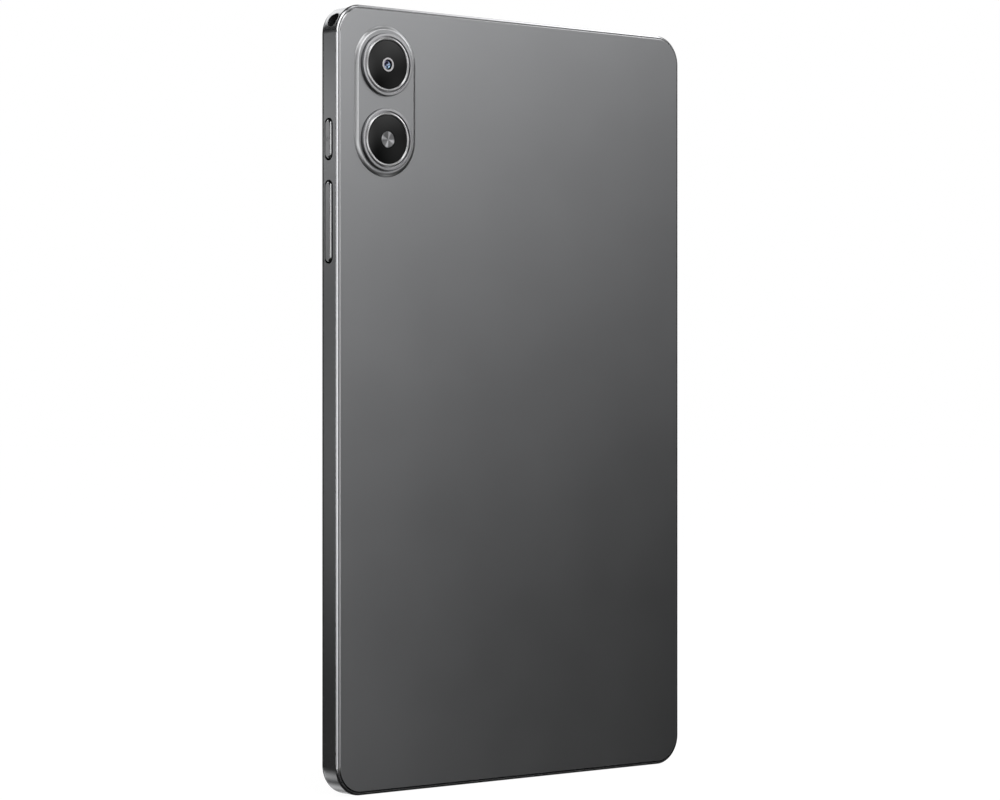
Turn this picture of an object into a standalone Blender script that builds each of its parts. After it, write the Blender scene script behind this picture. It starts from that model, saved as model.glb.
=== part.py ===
"""Tablet computer, 211 x 125 x 8 mm, as an assembly of separate pieces.

It stands upright on its bottom edge. +Z runs up the long side, +Y points out of the back
and -Y out of the screen, +X is the side with the keys. The origin is the middle of the bottom
edge. All lengths below are in millimetres, and MM turns them into Blender's metres.

Two directions are measured inwards from the outer faces, because the stack is easier to read
that way: "depth" is the distance in front of the back plane, towards the screen, and "inset"
is the distance inside the outline of the side walls.
"""

import math

import bmesh
import bpy
from mathutils import Vector

MM = 0.001

# Outer body
BODY_W = 125.0
BODY_H = 211.0
BODY_T = 8.0
CORNER_R = 8.0
REAR_CHAMFER = 0.55
REAR_RIM_DEPTH = 0.30
FRONT_ROUND_R = 2.1
FRONT_LIP_INSET = 1.3

# Stack through the thickness, as depths in front of the back plane
COVER_T = 0.8
COVER_SEAT = 0.9
MIDPLATE_BACK = 4.7
MIDPLATE_FRONT = 5.3
DISPLAY_BACK = 5.55
DISPLAY_FRONT = 7.0
GLASS_SEAT = 7.0
GLASS_BACK = 7.3
BOARD_BACK = 3.7
BOARD_FRONT = 4.5

# Insets of the body's inner walls
RIM_INSET = 0.7
COVER_INSET = 0.8
BAY_INSET = 2.2
GLASS_SEAT_INSET = 1.35
GLASS_INSET = 1.45
DISPLAY_BAY_INSET = 3.2
TAPE_INSETS, TAPE_GAP = (1.7, 3.0), 0.07

# Screen and battery
DISPLAY_W, DISPLAY_H, DISPLAY_BOTTOM = 115.2, 186.5, 12.5
BATTERY_W, BATTERY_H, BATTERY_BOTTOM = 99.0, 113.0, 44.0
BATTERY_BACK, BATTERY_FRONT = 1.05, 4.5

# Camera island on the back, a stadium with two round windows
ISLAND_X, ISLAND_Z = BODY_W / 2 - 16.05, BODY_H - 25.4
ISLAND_W, ISLAND_H, ISLAND_PROUD, ISLAND_GAP = 20.75, 40.6, 0.5, 0.1
WINDOW_SPACING, WINDOWS_LOWER = 20.1, 0.25
WINDOWS_MIDDLE = ISLAND_Z - WINDOWS_LOWER
WINDOW_Z = (WINDOWS_MIDDLE + WINDOW_SPACING / 2, WINDOWS_MIDDLE - WINDOW_SPACING / 2)
LENS_RING_R = 8.3
LENS_GLASS_R = 6.5
LENS_SEAT_R = 6.6
LENS_TOP = 1.45
BARREL_R = 3.0
BARREL_HOLE_R = 4.0
FLASH_R = 2.2
FLASH_HOLE_R = 2.6
CAMERA_MODULE = 8.0

# Keys on the +X side
KEY_DEPTH = 3.82
KEY_WIDTH = 2.55
KEY_PROUD = 0.42
KEY_GAP = 0.25
KEY_WALL = 2.0
FLANGE_INSET = 2.35
FLANGE_T = 0.4
FLANGE_WIDER, FLANGE_LONGER = 0.75, 1.8
KEY_FOOT_INSET, KEY_FOOT_R = 3.2, 0.8
POWER_Z, POWER_LENGTH = BODY_H - 36.1, 10.3
VOLUME_Z, VOLUME_LENGTH = BODY_H - 58.1, 21.3
VOLUME_SWITCH_OFFSET = 6.5
SWITCH_TOP, SWITCH_BACK = 3.7, 4.55
KEY_POCKET_INSET = 5.6
KEY_POCKET_Z, KEY_POCKET_DEPTH = (138.5, 183.5), (1.9, 5.75)

# Headphone socket in the corner between the key side and the top edge
JACK_ANGLE = math.radians(28.0)
JACK_DEPTH = 3.1
JACK_MOUTH_R = 2.05
JACK_BORE_R = 1.8
JACK_START, JACK_END = 2.5, 12.9
JACK_BODY_W, JACK_BODY_T = 5.6, 4.2
JACK_ROOM = 0.2

# USB-C port in the bottom edge
USB_DEPTH = 4.0
USB_W, USB_T, USB_LENGTH, USB_WALL = 8.94, 3.16, 7.25, 0.28
USB_HOLE_GROW = 0.3

# Card tray in the -X side, with its ejector
TRAY_Z, TRAY_DEPTH = 176.0, 2.7
TRAY_FACE_LENGTH, TRAY_FACE_WIDTH, TRAY_FACE_T = 18.0, 2.3, 2.0
TRAY_WIDTH, TRAY_T, TRAY_END = 13.8, 0.8, 31.5
TRAY_SLOT_GAP = 0.2
EJECT_OFFSET = 8.1
LEVER_X, LEVER_OFFSET = -29.1, 4.0

# Boards, loudspeakers and fasteners
BOARD_TOP, BOARD_BOTTOM = 203.5, 160.5
SPEAKER_X = (33.2, 53.0)
SPEAKER_HOLES, SPEAKER_HOLE_PITCH, SPEAKER_HOLE_R = 7, 2.3, 0.6
MIC_X, TOP_MIC_X, MIC_HOLE_R = 15.7, 24.0, 0.45
PORT_DEPTH = 3.7
SCREW_HOLE_R, SCREW_SHANK_R, SCREW_HEAD_R = 0.9, 0.65, 1.5
SCREW_PLACES = (
    (-53.0, 163.0), (-52.5, 198.5), (9.2, 199.8), (37.5, 163.5), (-28.0, 18.5), (12.0, 18.5),
)

# Openings in the plate between the screen and the boards
DISPLAY_FLEX_SLOT = ((-47.0, -33.0), (200.8, 203.2))
FRONT_CAMERA_SLOT = ((-3.4, 3.4), (201.2, 207.4))
PLATE_CUT_DEPTH = (4.2, 5.8)

CORNER_STEPS = 8
LENS_STEPS = 40
SMALL_STEPS = 16
OVERSHOOT = 2.0


# ---------------------------------------------------------------- materials

def material(name, colour, roughness, metallic=0.0):
    """A Principled material with one colour and finish."""
    made = bpy.data.materials.get(name)
    if made is None:
        made = bpy.data.materials.new(name)
        made.use_nodes = True
        shader = made.node_tree.nodes["Principled BSDF"]
        shader.inputs["Base Color"].default_value = (*colour, 1.0)
        shader.inputs["Roughness"].default_value = roughness
        shader.inputs["Metallic"].default_value = metallic
        made.diffuse_color = (*colour, 1.0)
    return made


ANODISED = ("grey_metal", (0.20, 0.20, 0.215), 0.38, 0.9)
BRIGHT_METAL = ("bright_metal", (0.62, 0.62, 0.65), 0.22, 1.0)
BLACK_GLASS = ("black_glass", (0.008, 0.008, 0.010), 0.06, 0.0)
CLEAR_LENS = ("clear_lens", (0.65, 0.66, 0.68), 0.15, 0.0)
BLACK_PLASTIC = ("black_plastic", (0.02, 0.02, 0.022), 0.5, 0.0)
SPRING_STEEL = ("steel", (0.55, 0.55, 0.56), 0.3, 1.0)
BOARD_GREEN = ("circuit_board", (0.02, 0.09, 0.05), 0.45, 0.0)
FLEX_AMBER = ("flex_film", (0.45, 0.20, 0.04), 0.4, 0.0)
POUCH_GREY = ("battery_pouch", (0.35, 0.35, 0.37), 0.35, 0.6)
PANEL_BACK = ("panel_back", (0.6, 0.6, 0.62), 0.3, 0.4)
TAPE_BLACK = ("tape", (0.015, 0.015, 0.015), 0.8, 0.0)
GRAPHITE = ("graphite", (0.05, 0.05, 0.055), 0.45, 0.3)
LED_YELLOW = ("led_phosphor", (0.75, 0.65, 0.15), 0.5, 0.0)


# ---------------------------------------------------------------- outlines

def rounded_rectangle(width, height, radius, centre=(0.0, 0.0), steps=CORNER_STEPS):
    """Outline of a rectangle with round corners, anticlockwise."""
    points = []
    for quarter, (side_a, side_b) in enumerate(((1, 1), (-1, 1), (-1, -1), (1, -1))):
        for step in range(steps + 1):
            angle = (quarter + step / steps) * math.pi / 2
            points.append((
                centre[0] + side_a * (width / 2 - radius) + radius * math.cos(angle),
                centre[1] + side_b * (height / 2 - radius) + radius * math.sin(angle),
            ))
    return points


def pill(width, length, steps=SMALL_STEPS // 2):
    """Outline with straight sides along the second coordinate and two half-round ends."""
    radius = width / 2
    points = []
    for end in (1, -1):
        for step in range(steps + 1):
            angle = math.pi * step / steps + (0 if end == 1 else math.pi)
            along = end * (length / 2 - radius) + radius * math.sin(angle)
            points.append((radius * math.cos(angle), along))
    return points


def circle(radius, steps=SMALL_STEPS, centre=(0.0, 0.0)):
    """Outline of a circle."""
    points = []
    for step in range(steps):
        angle = 2 * math.pi * step / steps
        points.append((centre[0] + radius * math.cos(angle), centre[1] + radius * math.sin(angle)))
    return points


def rectangle(range_a, range_b):
    """Outline of a plain rectangle from its two ranges."""
    (a0, a1), (b0, b1) = range_a, range_b
    return [(a0, b0), (a1, b0), (a1, b1), (a0, b1)]


def square(side):
    """Outline of a square about its middle."""
    return rectangle((-side / 2, side / 2), (-side / 2, side / 2))


def lying(outline):
    """The same outline with its two coordinates exchanged."""
    return [(b, a) for a, b in outline]


def body_outline(inset):
    """Outline of the body, moved inwards by the inset, about the middle of its height."""
    return rounded_rectangle(BODY_W - 2 * inset, BODY_H - 2 * inset, CORNER_R - inset)


# ---------------------------------------------------------------- meshes

def point_along(axis, a, b, height):
    """A point from two outline coordinates and a height along X, Y or Z."""
    order = {"X": (height, a, b), "Y": (a, height, b), "Z": (a, b, height)}
    return Vector(order[axis]) * MM


def ring_of(mesh, outline, axis, height):
    """Vertices along an outline at a height."""
    return [mesh.verts.new(point_along(axis, a, b, height)) for a, b in outline]


def skin(mesh, rings, close_ends, close_loop=False):
    """Faces between one ring of vertices and the next, with caps or back to the first ring."""
    pairs = list(zip(rings, rings[1:]))
    if close_loop:
        pairs.append((rings[-1], rings[0]))
    for lower, upper in pairs:
        for index in range(len(lower)):
            after = (index + 1) % len(lower)
            mesh.faces.new((lower[index], lower[after], upper[after], upper[index]))
    if close_ends:
        mesh.faces.new(rings[0])
        mesh.faces.new(rings[-1])


def loft(sections, axis="Y"):
    """A solid through outlines at heights along an axis: [(outline, height), ...]."""
    mesh = bmesh.new()
    skin(mesh, [ring_of(mesh, outline, axis, height) for outline, height in sections], close_ends=True)
    return mesh


def prism(outline, start, end, axis="Y"):
    """A straight solid between two heights."""
    return loft([(outline, start), (outline, end)], axis)


def turned(profile, steps=LENS_STEPS, is_ring=False):
    """A profile of (radius, height) turned about the Y axis."""
    mesh = bmesh.new()
    rings = [ring_of(mesh, circle(radius, steps), "Y", height) for radius, height in profile]
    skin(mesh, rings, close_ends=not is_ring, close_loop=is_ring)
    return mesh


def several(outlines, start, end, axis):
    """Separate straight solids in one mesh, for tools that cut the same hole many times."""
    mesh = bmesh.new()
    for outline in outlines:
        skin(mesh, [ring_of(mesh, outline, axis, height) for height in (start, end)], close_ends=True)
    return mesh


# ---------------------------------------------------------------- objects

def empty(name, location, parent=None, rotation=(0.0, 0.0, 0.0)):
    """A point that pieces hang on, at a place in millimetres."""
    made = bpy.data.objects.new(name, None)
    bpy.context.collection.objects.link(made)
    made.empty_display_size = 0.005
    made.location = Vector(location) * MM
    made.rotation_euler = rotation
    made.parent = parent
    return made


def piece(name, mesh, look, parent, location=(0.0, 0.0, 0.0), smooth=False):
    """An object from a mesh, with its material, at a place under its parent."""
    bmesh.ops.recalc_face_normals(mesh, faces=mesh.faces)
    data = bpy.data.meshes.new(name)
    mesh.to_mesh(data)
    mesh.free()
    data.materials.append(material(*look))
    if smooth:
        data.shade_smooth()
        data.set_sharp_from_angle(angle=math.radians(30))
    made = bpy.data.objects.new(name, data)
    bpy.context.collection.objects.link(made)
    made.location = Vector(location) * MM
    made.parent = parent
    return made


def tool(name, mesh, parent, location=(0.0, 0.0, 0.0)):
    """A solid that only cuts or joins, left out of the part itself."""
    made = piece(name, mesh, BLACK_PLASTIC, parent, location)
    made.hide_render = True
    made.display_type = "WIRE"
    return made


def combine(target, other, operation="DIFFERENCE"):
    """Cut the other solid out of the target, or join it on."""
    step = target.modifiers.new(other.name, "BOOLEAN")
    step.operation = operation
    step.solver = "EXACT"
    step.object = other


def block(name, look, x, z, depth):
    """A rectangular piece from its ranges across, up and through the body."""
    size = [(span[1] - span[0]) / 2 for span in (x, z, depth)]
    mesh = prism(rectangle((-size[0], size[0]), (-size[1], size[1])), -size[2], size[2])
    centre = [(span[0] + span[1]) / 2 for span in (x, z, depth)]
    return piece(name, mesh, look, tablet, (centre[0], -centre[2], centre[1]))


def block_tool(name, x, z, depth):
    """A rectangular tool from its ranges across, up and through the body."""
    return tool(name, prism(rectangle(x, z), -depth[0], -depth[1]), tablet)


# ---------------------------------------------------------------- casing

def build_mid_frame():
    """The metal frame: side walls all round, and a plate between the screen and the boards."""
    lip_angle = math.acos(1 - FRONT_LIP_INSET / FRONT_ROUND_R)
    round_start = BODY_T - FRONT_ROUND_R
    profile = [(REAR_CHAMFER, REAR_RIM_DEPTH), (0.0, REAR_RIM_DEPTH + REAR_CHAMFER), (0.0, round_start)]
    round_steps = 4
    for step in range(1, round_steps + 1):
        angle = lip_angle * step / round_steps
        inset = FRONT_ROUND_R * (1 - math.cos(angle))
        profile.append((inset, round_start + FRONT_ROUND_R * math.sin(angle)))
    sections = [(body_outline(inset), -depth) for inset, depth in profile]
    middle = (0.0, 0.0, BODY_H / 2)
    frame = piece("mid_frame", loft(sections), ANODISED, tablet, middle, smooth=True)

    steps = (
        ("cut_cover_seat", RIM_INSET, -OVERSHOOT, COVER_SEAT),
        ("cut_rear_bay", BAY_INSET, 0.0, MIDPLATE_BACK),
        ("cut_display_bay", DISPLAY_BAY_INSET, MIDPLATE_FRONT, BODY_T),
        ("cut_glass_seat", GLASS_SEAT_INSET, GLASS_SEAT, BODY_T + OVERSHOOT),
    )
    for name, inset, start, end in steps:
        combine(frame, tool(name, prism(body_outline(inset), -start, -end), tablet, middle))

    cut_key_slots(frame)
    cut_ports(frame)
    combine(frame, block_tool("cut_display_flex_slot", *DISPLAY_FLEX_SLOT, PLATE_CUT_DEPTH))
    combine(frame, block_tool("cut_front_camera_window", *FRONT_CAMERA_SLOT, PLATE_CUT_DEPTH))
    combine(frame, screw_hole_tool("cut_frame_screw_holes", MIDPLATE_BACK - 0.5, MIDPLATE_FRONT + 0.2))


def cut_key_slots(frame):
    """The pocket behind the keys, and the slots that they come through."""
    side = BODY_W / 2
    pocket_x = (side - KEY_POCKET_INSET, side - KEY_WALL)
    combine(frame, block_tool("cut_key_pocket", pocket_x, KEY_POCKET_Z, KEY_POCKET_DEPTH))
    for name, key, length in (("power", power_key, POWER_LENGTH), ("volume", volume_key, VOLUME_LENGTH)):
        outline = pill(KEY_WIDTH + 2 * KEY_GAP, length + 2 * KEY_GAP)
        combine(frame, tool(f"cut_{name}_slot", prism(outline, -KEY_WALL - 1, OVERSHOOT, "X"), key))


def cut_ports(frame):
    """The openings of the headphone socket, the USB-C port, the tray, the speakers and microphones."""
    mouth = circle(JACK_MOUTH_R)
    combine(frame, tool("cut_jack_mouth", prism(mouth, -JACK_START - 1, OVERSHOOT, "X"), jack_axis))
    half_t, half_w = JACK_BODY_T / 2 + JACK_ROOM, JACK_BODY_W / 2 + JACK_ROOM
    section = rectangle((-half_t, half_t), (-half_w, half_w))
    pocket = prism(section, -JACK_END - JACK_ROOM, -JACK_START + JACK_ROOM, "X")
    combine(frame, tool("cut_jack_pocket", pocket, jack_axis))

    usb_hole = lying(pill(USB_T + USB_HOLE_GROW, USB_W + USB_HOLE_GROW))
    combine(frame, tool("cut_usb_hole", prism(usb_hole, -OVERSHOOT, USB_LENGTH + 1, "Z"), usb_axis))
    tray_slot = pill(TRAY_FACE_WIDTH + 2 * TRAY_SLOT_GAP, TRAY_FACE_LENGTH + 2 * TRAY_SLOT_GAP)
    combine(frame, tool("cut_tray_slot", prism(tray_slot, -OVERSHOOT, BAY_INSET + 1, "X"), tray_axis))

    holes = [circle(MIC_HOLE_R, 8, (MIC_X, -PORT_DEPTH))]
    first = sum(SPEAKER_X) / 2 - SPEAKER_HOLE_PITCH * (SPEAKER_HOLES - 1) / 2
    for side_sign in (-1, 1):
        for index in range(SPEAKER_HOLES):
            x = side_sign * (first + index * SPEAKER_HOLE_PITCH)
            holes.append(circle(SPEAKER_HOLE_R, 8, (x, -PORT_DEPTH)))
    combine(frame, tool("cut_bottom_holes", several(holes, -OVERSHOOT, BAY_INSET + 0.5, "Z"), tablet))
    top_mic = circle(MIC_HOLE_R, 8, (TOP_MIC_X, -PORT_DEPTH))
    top_hole = prism(top_mic, BODY_H - BAY_INSET - 0.5, BODY_H + OVERSHOOT, "Z")
    combine(frame, tool("cut_top_mic_hole", top_hole, tablet))


def screw_hole_tool(name, start, end):
    """The screws' clearance holes between two depths."""
    outlines = [circle(SCREW_HOLE_R, 10, place) for place in SCREW_PLACES]
    return tool(name, several(outlines, -start, -end, "Y"), tablet)


def build_rear_cover():
    """The thin back shell, with snap tabs inside and the openings of the camera island."""
    edge = COVER_INSET + REAR_RIM_DEPTH
    sections = [
        (body_outline(edge), 0.0),
        (body_outline(COVER_INSET), -REAR_RIM_DEPTH),
        (body_outline(COVER_INSET), -COVER_T),
    ]
    cover = piece("rear_cover", loft(sections), ANODISED, tablet, (0.0, 0.0, BODY_H / 2), smooth=True)

    tab_length, tab_t, tab_depth = 8.0, 0.7, 1.9
    inside = BODY_W / 2 - BAY_INSET - 0.15
    tabs = []
    for side_sign in (-1, 1):
        for z in (60.0, 120.0):
            span = sorted((side_sign * inside, side_sign * (inside - tab_t)))
            tabs.append(rectangle(span, (z - tab_length / 2, z + tab_length / 2)))
    combine(cover, tool("add_snap_tabs", several(tabs, -COVER_T / 2, -tab_depth, "Y"), tablet), "UNION")

    seat = pill(ISLAND_W + 2 * ISLAND_GAP, ISLAND_H + 2 * ISLAND_GAP, CORNER_STEPS * 2)
    combine(cover, tool("cut_island_seat", prism(seat, OVERSHOOT, -0.4), island))
    for name, axis, radius in (("barrel", camera_axis, BARREL_HOLE_R), ("flash", flash_axis, FLASH_HOLE_R)):
        combine(cover, tool(f"cut_cover_{name}_hole", prism(circle(radius, 24), OVERSHOOT, -OVERSHOOT), axis))


def build_camera_deck():
    """The raised stadium plate that both round windows stand on."""
    shape = ((0.55, ISLAND_PROUD), (0.18, ISLAND_PROUD - 0.1), (0.0, ISLAND_PROUD - 0.38), (0.0, -0.33))
    sections = []
    for inset, height in shape:
        sections.append((pill(ISLAND_W - 2 * inset, ISLAND_H - 2 * inset, CORNER_STEPS * 2), height))
    deck = piece("camera_deck", loft(sections), ANODISED, island, smooth=True)
    for name, axis, radius in (("barrel", camera_axis, BARREL_HOLE_R), ("flash", flash_axis, FLASH_HOLE_R)):
        combine(deck, tool(f"cut_deck_{name}_hole", prism(circle(radius, 24), OVERSHOOT, -OVERSHOOT), axis))
        seat = prism(circle(LENS_RING_R + 0.1, LENS_STEPS), OVERSHOOT, 0.25)
        combine(deck, tool(f"cut_deck_{name}_seat", seat, axis))


def build_front():
    """The cover glass, its tape and the screen module behind it."""
    middle = (0.0, 0.0, BODY_H / 2)
    edge = 0.15
    glass = [
        (body_outline(GLASS_INSET), -GLASS_BACK),
        (body_outline(GLASS_INSET), -BODY_T + edge),
        (body_outline(GLASS_INSET + edge), -BODY_T),
    ]
    piece("front_glass", loft(glass), BLACK_GLASS, tablet, middle, smooth=True)

    film = prism(body_outline(TAPE_INSETS[0]), -GLASS_SEAT - TAPE_GAP, -GLASS_BACK + TAPE_GAP)
    tape = piece("display_tape", film, TAPE_BLACK, tablet, middle)
    window = prism(body_outline(TAPE_INSETS[1]), -GLASS_SEAT + 1, -GLASS_BACK - 1)
    combine(tape, tool("cut_tape_window", window, tablet, middle))

    display_middle = (0.0, -(DISPLAY_BACK + DISPLAY_FRONT) / 2, DISPLAY_BOTTOM + DISPLAY_H / 2)
    half = (DISPLAY_FRONT - DISPLAY_BACK) / 2
    outline = rounded_rectangle(DISPLAY_W, DISPLAY_H, 1.5, steps=3)
    piece("display_panel", prism(outline, -half, half), PANEL_BACK, tablet, display_middle)

    film = 0.15
    front, back = -6.1, -3.25
    top = DISPLAY_BOTTOM + DISPLAY_H
    start, bend, end = top + 0.3, top + 3.0, top - 8.0
    fold = [
        (front, start), (front, bend), (back, bend), (back, end),
        (back - film, end), (back - film, bend - film), (front + film, bend - film), (front + film, start),
    ]
    piece("display_flex", prism(fold, -6.0, 6.0, "X"), FLEX_AMBER, tablet, (-40.0, 0.0, 0.0))


# ---------------------------------------------------------------- cameras and flash

def build_rear_camera():
    """Both round windows, the focusing camera behind one and the flash behind the other."""
    ring = [
        (LENS_RING_R, 0.30), (LENS_RING_R, 1.2), (LENS_RING_R - 0.2, 1.4), (7.2, 1.5),
        (LENS_SEAT_R, LENS_TOP), (LENS_SEAT_R, 0.65), (5.6, 0.65), (5.6, 0.30),
    ]
    glass_back = 0.75
    for name, axis in (("upper_lens_ring", camera_axis), ("lower_lens_ring", flash_axis)):
        piece(name, turned(ring, is_ring=True), BRIGHT_METAL, axis, smooth=True)

    disc = [(LENS_GLASS_R, glass_back), (LENS_GLASS_R, LENS_TOP)]
    piece("camera_window", turned(disc), BLACK_GLASS, camera_axis, smooth=True)
    hole = FLASH_R + 0.1
    window = [(hole, glass_back), (LENS_GLASS_R, glass_back), (LENS_GLASS_R, LENS_TOP), (hole, LENS_TOP)]
    piece("flash_window", turned(window, is_ring=True), BLACK_GLASS, flash_axis, smooth=True)

    bezel = [(1.45, 0.45), (1.93, 0.45), (1.93, 0.70), (1.45, 0.70)]
    piece("camera_inner_bezel", turned(bezel, 24, is_ring=True), BRIGHT_METAL, camera_axis, smooth=True)

    barrel = [(BARREL_R, -2.1), (BARREL_R, -0.35), (2.3, -0.35), (2.3, 0.05)]
    piece("camera_lens_barrel", turned(barrel, 24), BLACK_PLASTIC, camera_axis, smooth=True)
    housing = prism(square(CAMERA_MODULE), -4.55, -0.9)
    module = piece("rear_camera_module", housing, BLACK_PLASTIC, camera_axis)
    bore = prism(circle(BARREL_R + 0.2, 24), OVERSHOOT, -2.4)
    combine(module, tool("cut_barrel_bore", bore, camera_axis))

    lens = turned([(FLASH_R, -0.3), (FLASH_R, LENS_TOP - 0.03)], 24)
    piece("flash_lens", lens, CLEAR_LENS, flash_axis, smooth=True)
    riser, chip, step = square(3.2), square(2.0), -1.3
    led = loft([(riser, -3.55), (riser, step), (chip, step), (chip, -0.5)])
    piece("flash_led", led, LED_YELLOW, flash_axis)


def build_front_camera():
    """The camera and light sensor that look out through the cover glass above the screen."""
    camera = block("front_camera", BLACK_PLASTIC, (-3.0, 3.0), (201.6, 207.0), (4.6, 6.4))
    stub = tool("add_front_lens", prism(circle(1.7), -6.0, -7.0), tablet, (0.0, 0.0, 204.3))
    combine(camera, stub, "UNION")
    block("light_sensor", BLACK_PLASTIC, (8.0, 10.4), (203.5, 205.1), (5.9, 6.9))


# ---------------------------------------------------------------- keys

def key_sections(length):
    """Rounded cap through the wall, then the wider flange that keeps it in."""
    flange = pill(KEY_WIDTH + FLANGE_WIDER, length + FLANGE_LONGER)
    return [
        (pill(KEY_WIDTH - 0.8, length - 1.6), KEY_PROUD),
        (pill(KEY_WIDTH - 0.3, length - 0.6), KEY_PROUD - 0.1),
        (pill(KEY_WIDTH, length), KEY_PROUD - 0.35),
        (pill(KEY_WIDTH, length), -FLANGE_INSET),
        (flange, -FLANGE_INSET),
        (flange, -FLANGE_INSET - FLANGE_T),
    ]


def build_switch(name, axis, offset):
    """A side switch: its case on the flex and the plunger that the key pushes."""
    place = (0.0, 0.0, offset)
    body = prism(rectangle((-1.3, 1.3), (-2.0, 2.0)), -SWITCH_BACK, -SWITCH_TOP, "X")
    case = piece(f"{name}_switch", body, BLACK_PLASTIC, axis, place)
    combine(case, tool(f"cut_{name}_switch", prism(circle(1.0, 12), -4.3, 0.0, "X"), axis, place))
    piece(f"{name}_plunger", prism(circle(0.8, 12), -4.0, -3.3, "X"), SPRING_STEEL, axis, place)


def build_keys():
    """Power key, volume rocker, and the switches, flex and bracket behind them."""
    for name, axis, length, offsets in (
        ("power_button", power_key, POWER_LENGTH, (0.0,)),
        ("volume_rocker", volume_key, VOLUME_LENGTH, (-VOLUME_SWITCH_OFFSET, VOLUME_SWITCH_OFFSET)),
    ):
        key = piece(name, loft(key_sections(length), "X"), ANODISED, axis, smooth=True)
        feet = [circle(KEY_FOOT_R, 12, (0.0, offset)) for offset in offsets]
        stems = several(feet, -KEY_FOOT_INSET, -FLANGE_INSET - FLANGE_T / 2, "X")
        combine(key, tool(f"add_{name}_feet", stems, axis), "UNION")
    build_switch("power", power_key, 0.0)
    build_switch("volume_up", volume_key, VOLUME_SWITCH_OFFSET)
    build_switch("volume_down", volume_key, -VOLUME_SWITCH_OFFSET)
    side = BODY_W / 2
    block("side_key_flex", FLEX_AMBER, (side - 4.8, side - 4.65), (140.0, 182.0), (2.5, 5.1))
    block("side_key_bracket", SPRING_STEEL, (side - 5.25, side - 4.9), (139.5, 182.5), (2.3, 5.2))


# ---------------------------------------------------------------- ports and card tray

def build_ports():
    """Headphone socket, USB-C port, loudspeakers with their meshes, and microphones."""
    body = rectangle((-JACK_BODY_T / 2, JACK_BODY_T / 2), (-JACK_BODY_W / 2, JACK_BODY_W / 2))
    jack = piece("headphone_jack", prism(body, -JACK_END, -JACK_START, "X"), BLACK_PLASTIC, jack_axis)
    combine(jack, tool("cut_jack_bore", prism(circle(JACK_BORE_R), -JACK_END + 0.4, 0.0, "X"), jack_axis))

    outer = prism(lying(pill(USB_T, USB_W)), 0.15, USB_LENGTH, "Z")
    shell = piece("usb_c_shell", outer, SPRING_STEEL, usb_axis, smooth=True)
    inside = lying(pill(USB_T - 2 * USB_WALL, USB_W - 2 * USB_WALL))
    combine(shell, tool("cut_usb_shell", prism(inside, -OVERSHOOT, USB_LENGTH - USB_WALL, "Z"), usb_axis))
    tongue = prism(rectangle((-3.35, 3.35), (-0.35, 0.35)), 0.9, USB_LENGTH - 0.4, "Z")
    piece("usb_c_tongue", tongue, BLACK_PLASTIC, usb_axis)

    for name, side_sign in (("left", 1), ("right", -1)):
        x = sorted(side_sign * value for value in SPEAKER_X)
        mesh_x = (x[0] + 0.8, x[1] - 0.8)
        block(f"speaker_{name}", BLACK_PLASTIC, x, (2.9, 19.0), (1.1, 4.4))
        block(f"speaker_mesh_{name}", SPRING_STEEL, mesh_x, (2.35, 2.65), (2.8, 4.6))
    block("microphone_bottom", SPRING_STEEL, (MIC_X - 1.7, MIC_X + 1.7), (3.6, 6.2), (2.4, 3.6))
    block("microphone_top", SPRING_STEEL, (TOP_MIC_X - 1.7, TOP_MIC_X + 1.7), (200.6, 203.2), (2.4, 3.6))


def build_card_tray():
    """The card tray, the reader it slides in, and the rod and lever that push it out."""
    face = pill(TRAY_FACE_WIDTH, TRAY_FACE_LENGTH)
    tray = piece("card_tray", prism(face, 0.0, TRAY_FACE_T, "X"), ANODISED, tray_axis)
    length = BODY_W / 2 - TRAY_END
    section = rectangle((-TRAY_T / 2, TRAY_T / 2), (-TRAY_WIDTH / 2, TRAY_WIDTH / 2))
    combine(tray, tool("add_tray_plate", prism(section, TRAY_FACE_T - 0.5, length, "X"), tray_axis), "UNION")
    pockets = [rectangle((4.5, 13.3), (-6.1, 6.1)), rectangle((15.0, 29.5), (-5.5, 5.5))]
    combine(tray, tool("cut_card_pockets", several(pockets, -1.0, 1.0, "Y"), tray_axis))
    pin = circle(0.45, 10, (0.0, EJECT_OFFSET - 0.2))
    combine(tray, tool("cut_eject_pinhole", prism(pin, -OVERSHOOT, TRAY_FACE_T + 1, "X"), tray_axis))

    reader_start, reader_end = 5.0, BODY_W / 2 - 30.2
    case = prism(rectangle((-0.85, 0.85), (-7.45, 7.45)), reader_start, reader_end, "X")
    reader = piece("card_reader", case, SPRING_STEEL, tray_axis)
    slot = prism(rectangle((-0.6, 0.6), (-7.1, 7.1)), 0.0, reader_end + 1, "X")
    combine(reader, tool("cut_reader_slot", slot, tray_axis))

    rod_start, rod_end = 2.4, BODY_W / 2 - 29.9
    rod = prism(rectangle((-0.35, 0.35), (-0.4, 0.4)), 0.0, rod_end - rod_start, "X")
    piece("eject_rod", rod, SPRING_STEEL, tray_axis, (rod_start, 0.0, EJECT_OFFSET))
    lever_shape = [(-0.5, 5.0), (-0.5, -3.9), (-2.1, -3.9), (-2.1, -4.9), (0.5, -4.9), (0.5, 5.0)]
    lever = piece("eject_lever", prism(lever_shape, -0.3, 0.3), SPRING_STEEL, lever_axis)
    combine(lever, tool("cut_lever_hole", prism(circle(0.36, 12), -1.0, 1.0), lever_axis))
    piece("eject_lever_pin", prism(circle(0.3, 12), -0.7, 0.6), SPRING_STEEL, lever_axis)


# ---------------------------------------------------------------- boards, battery and cables

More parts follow.
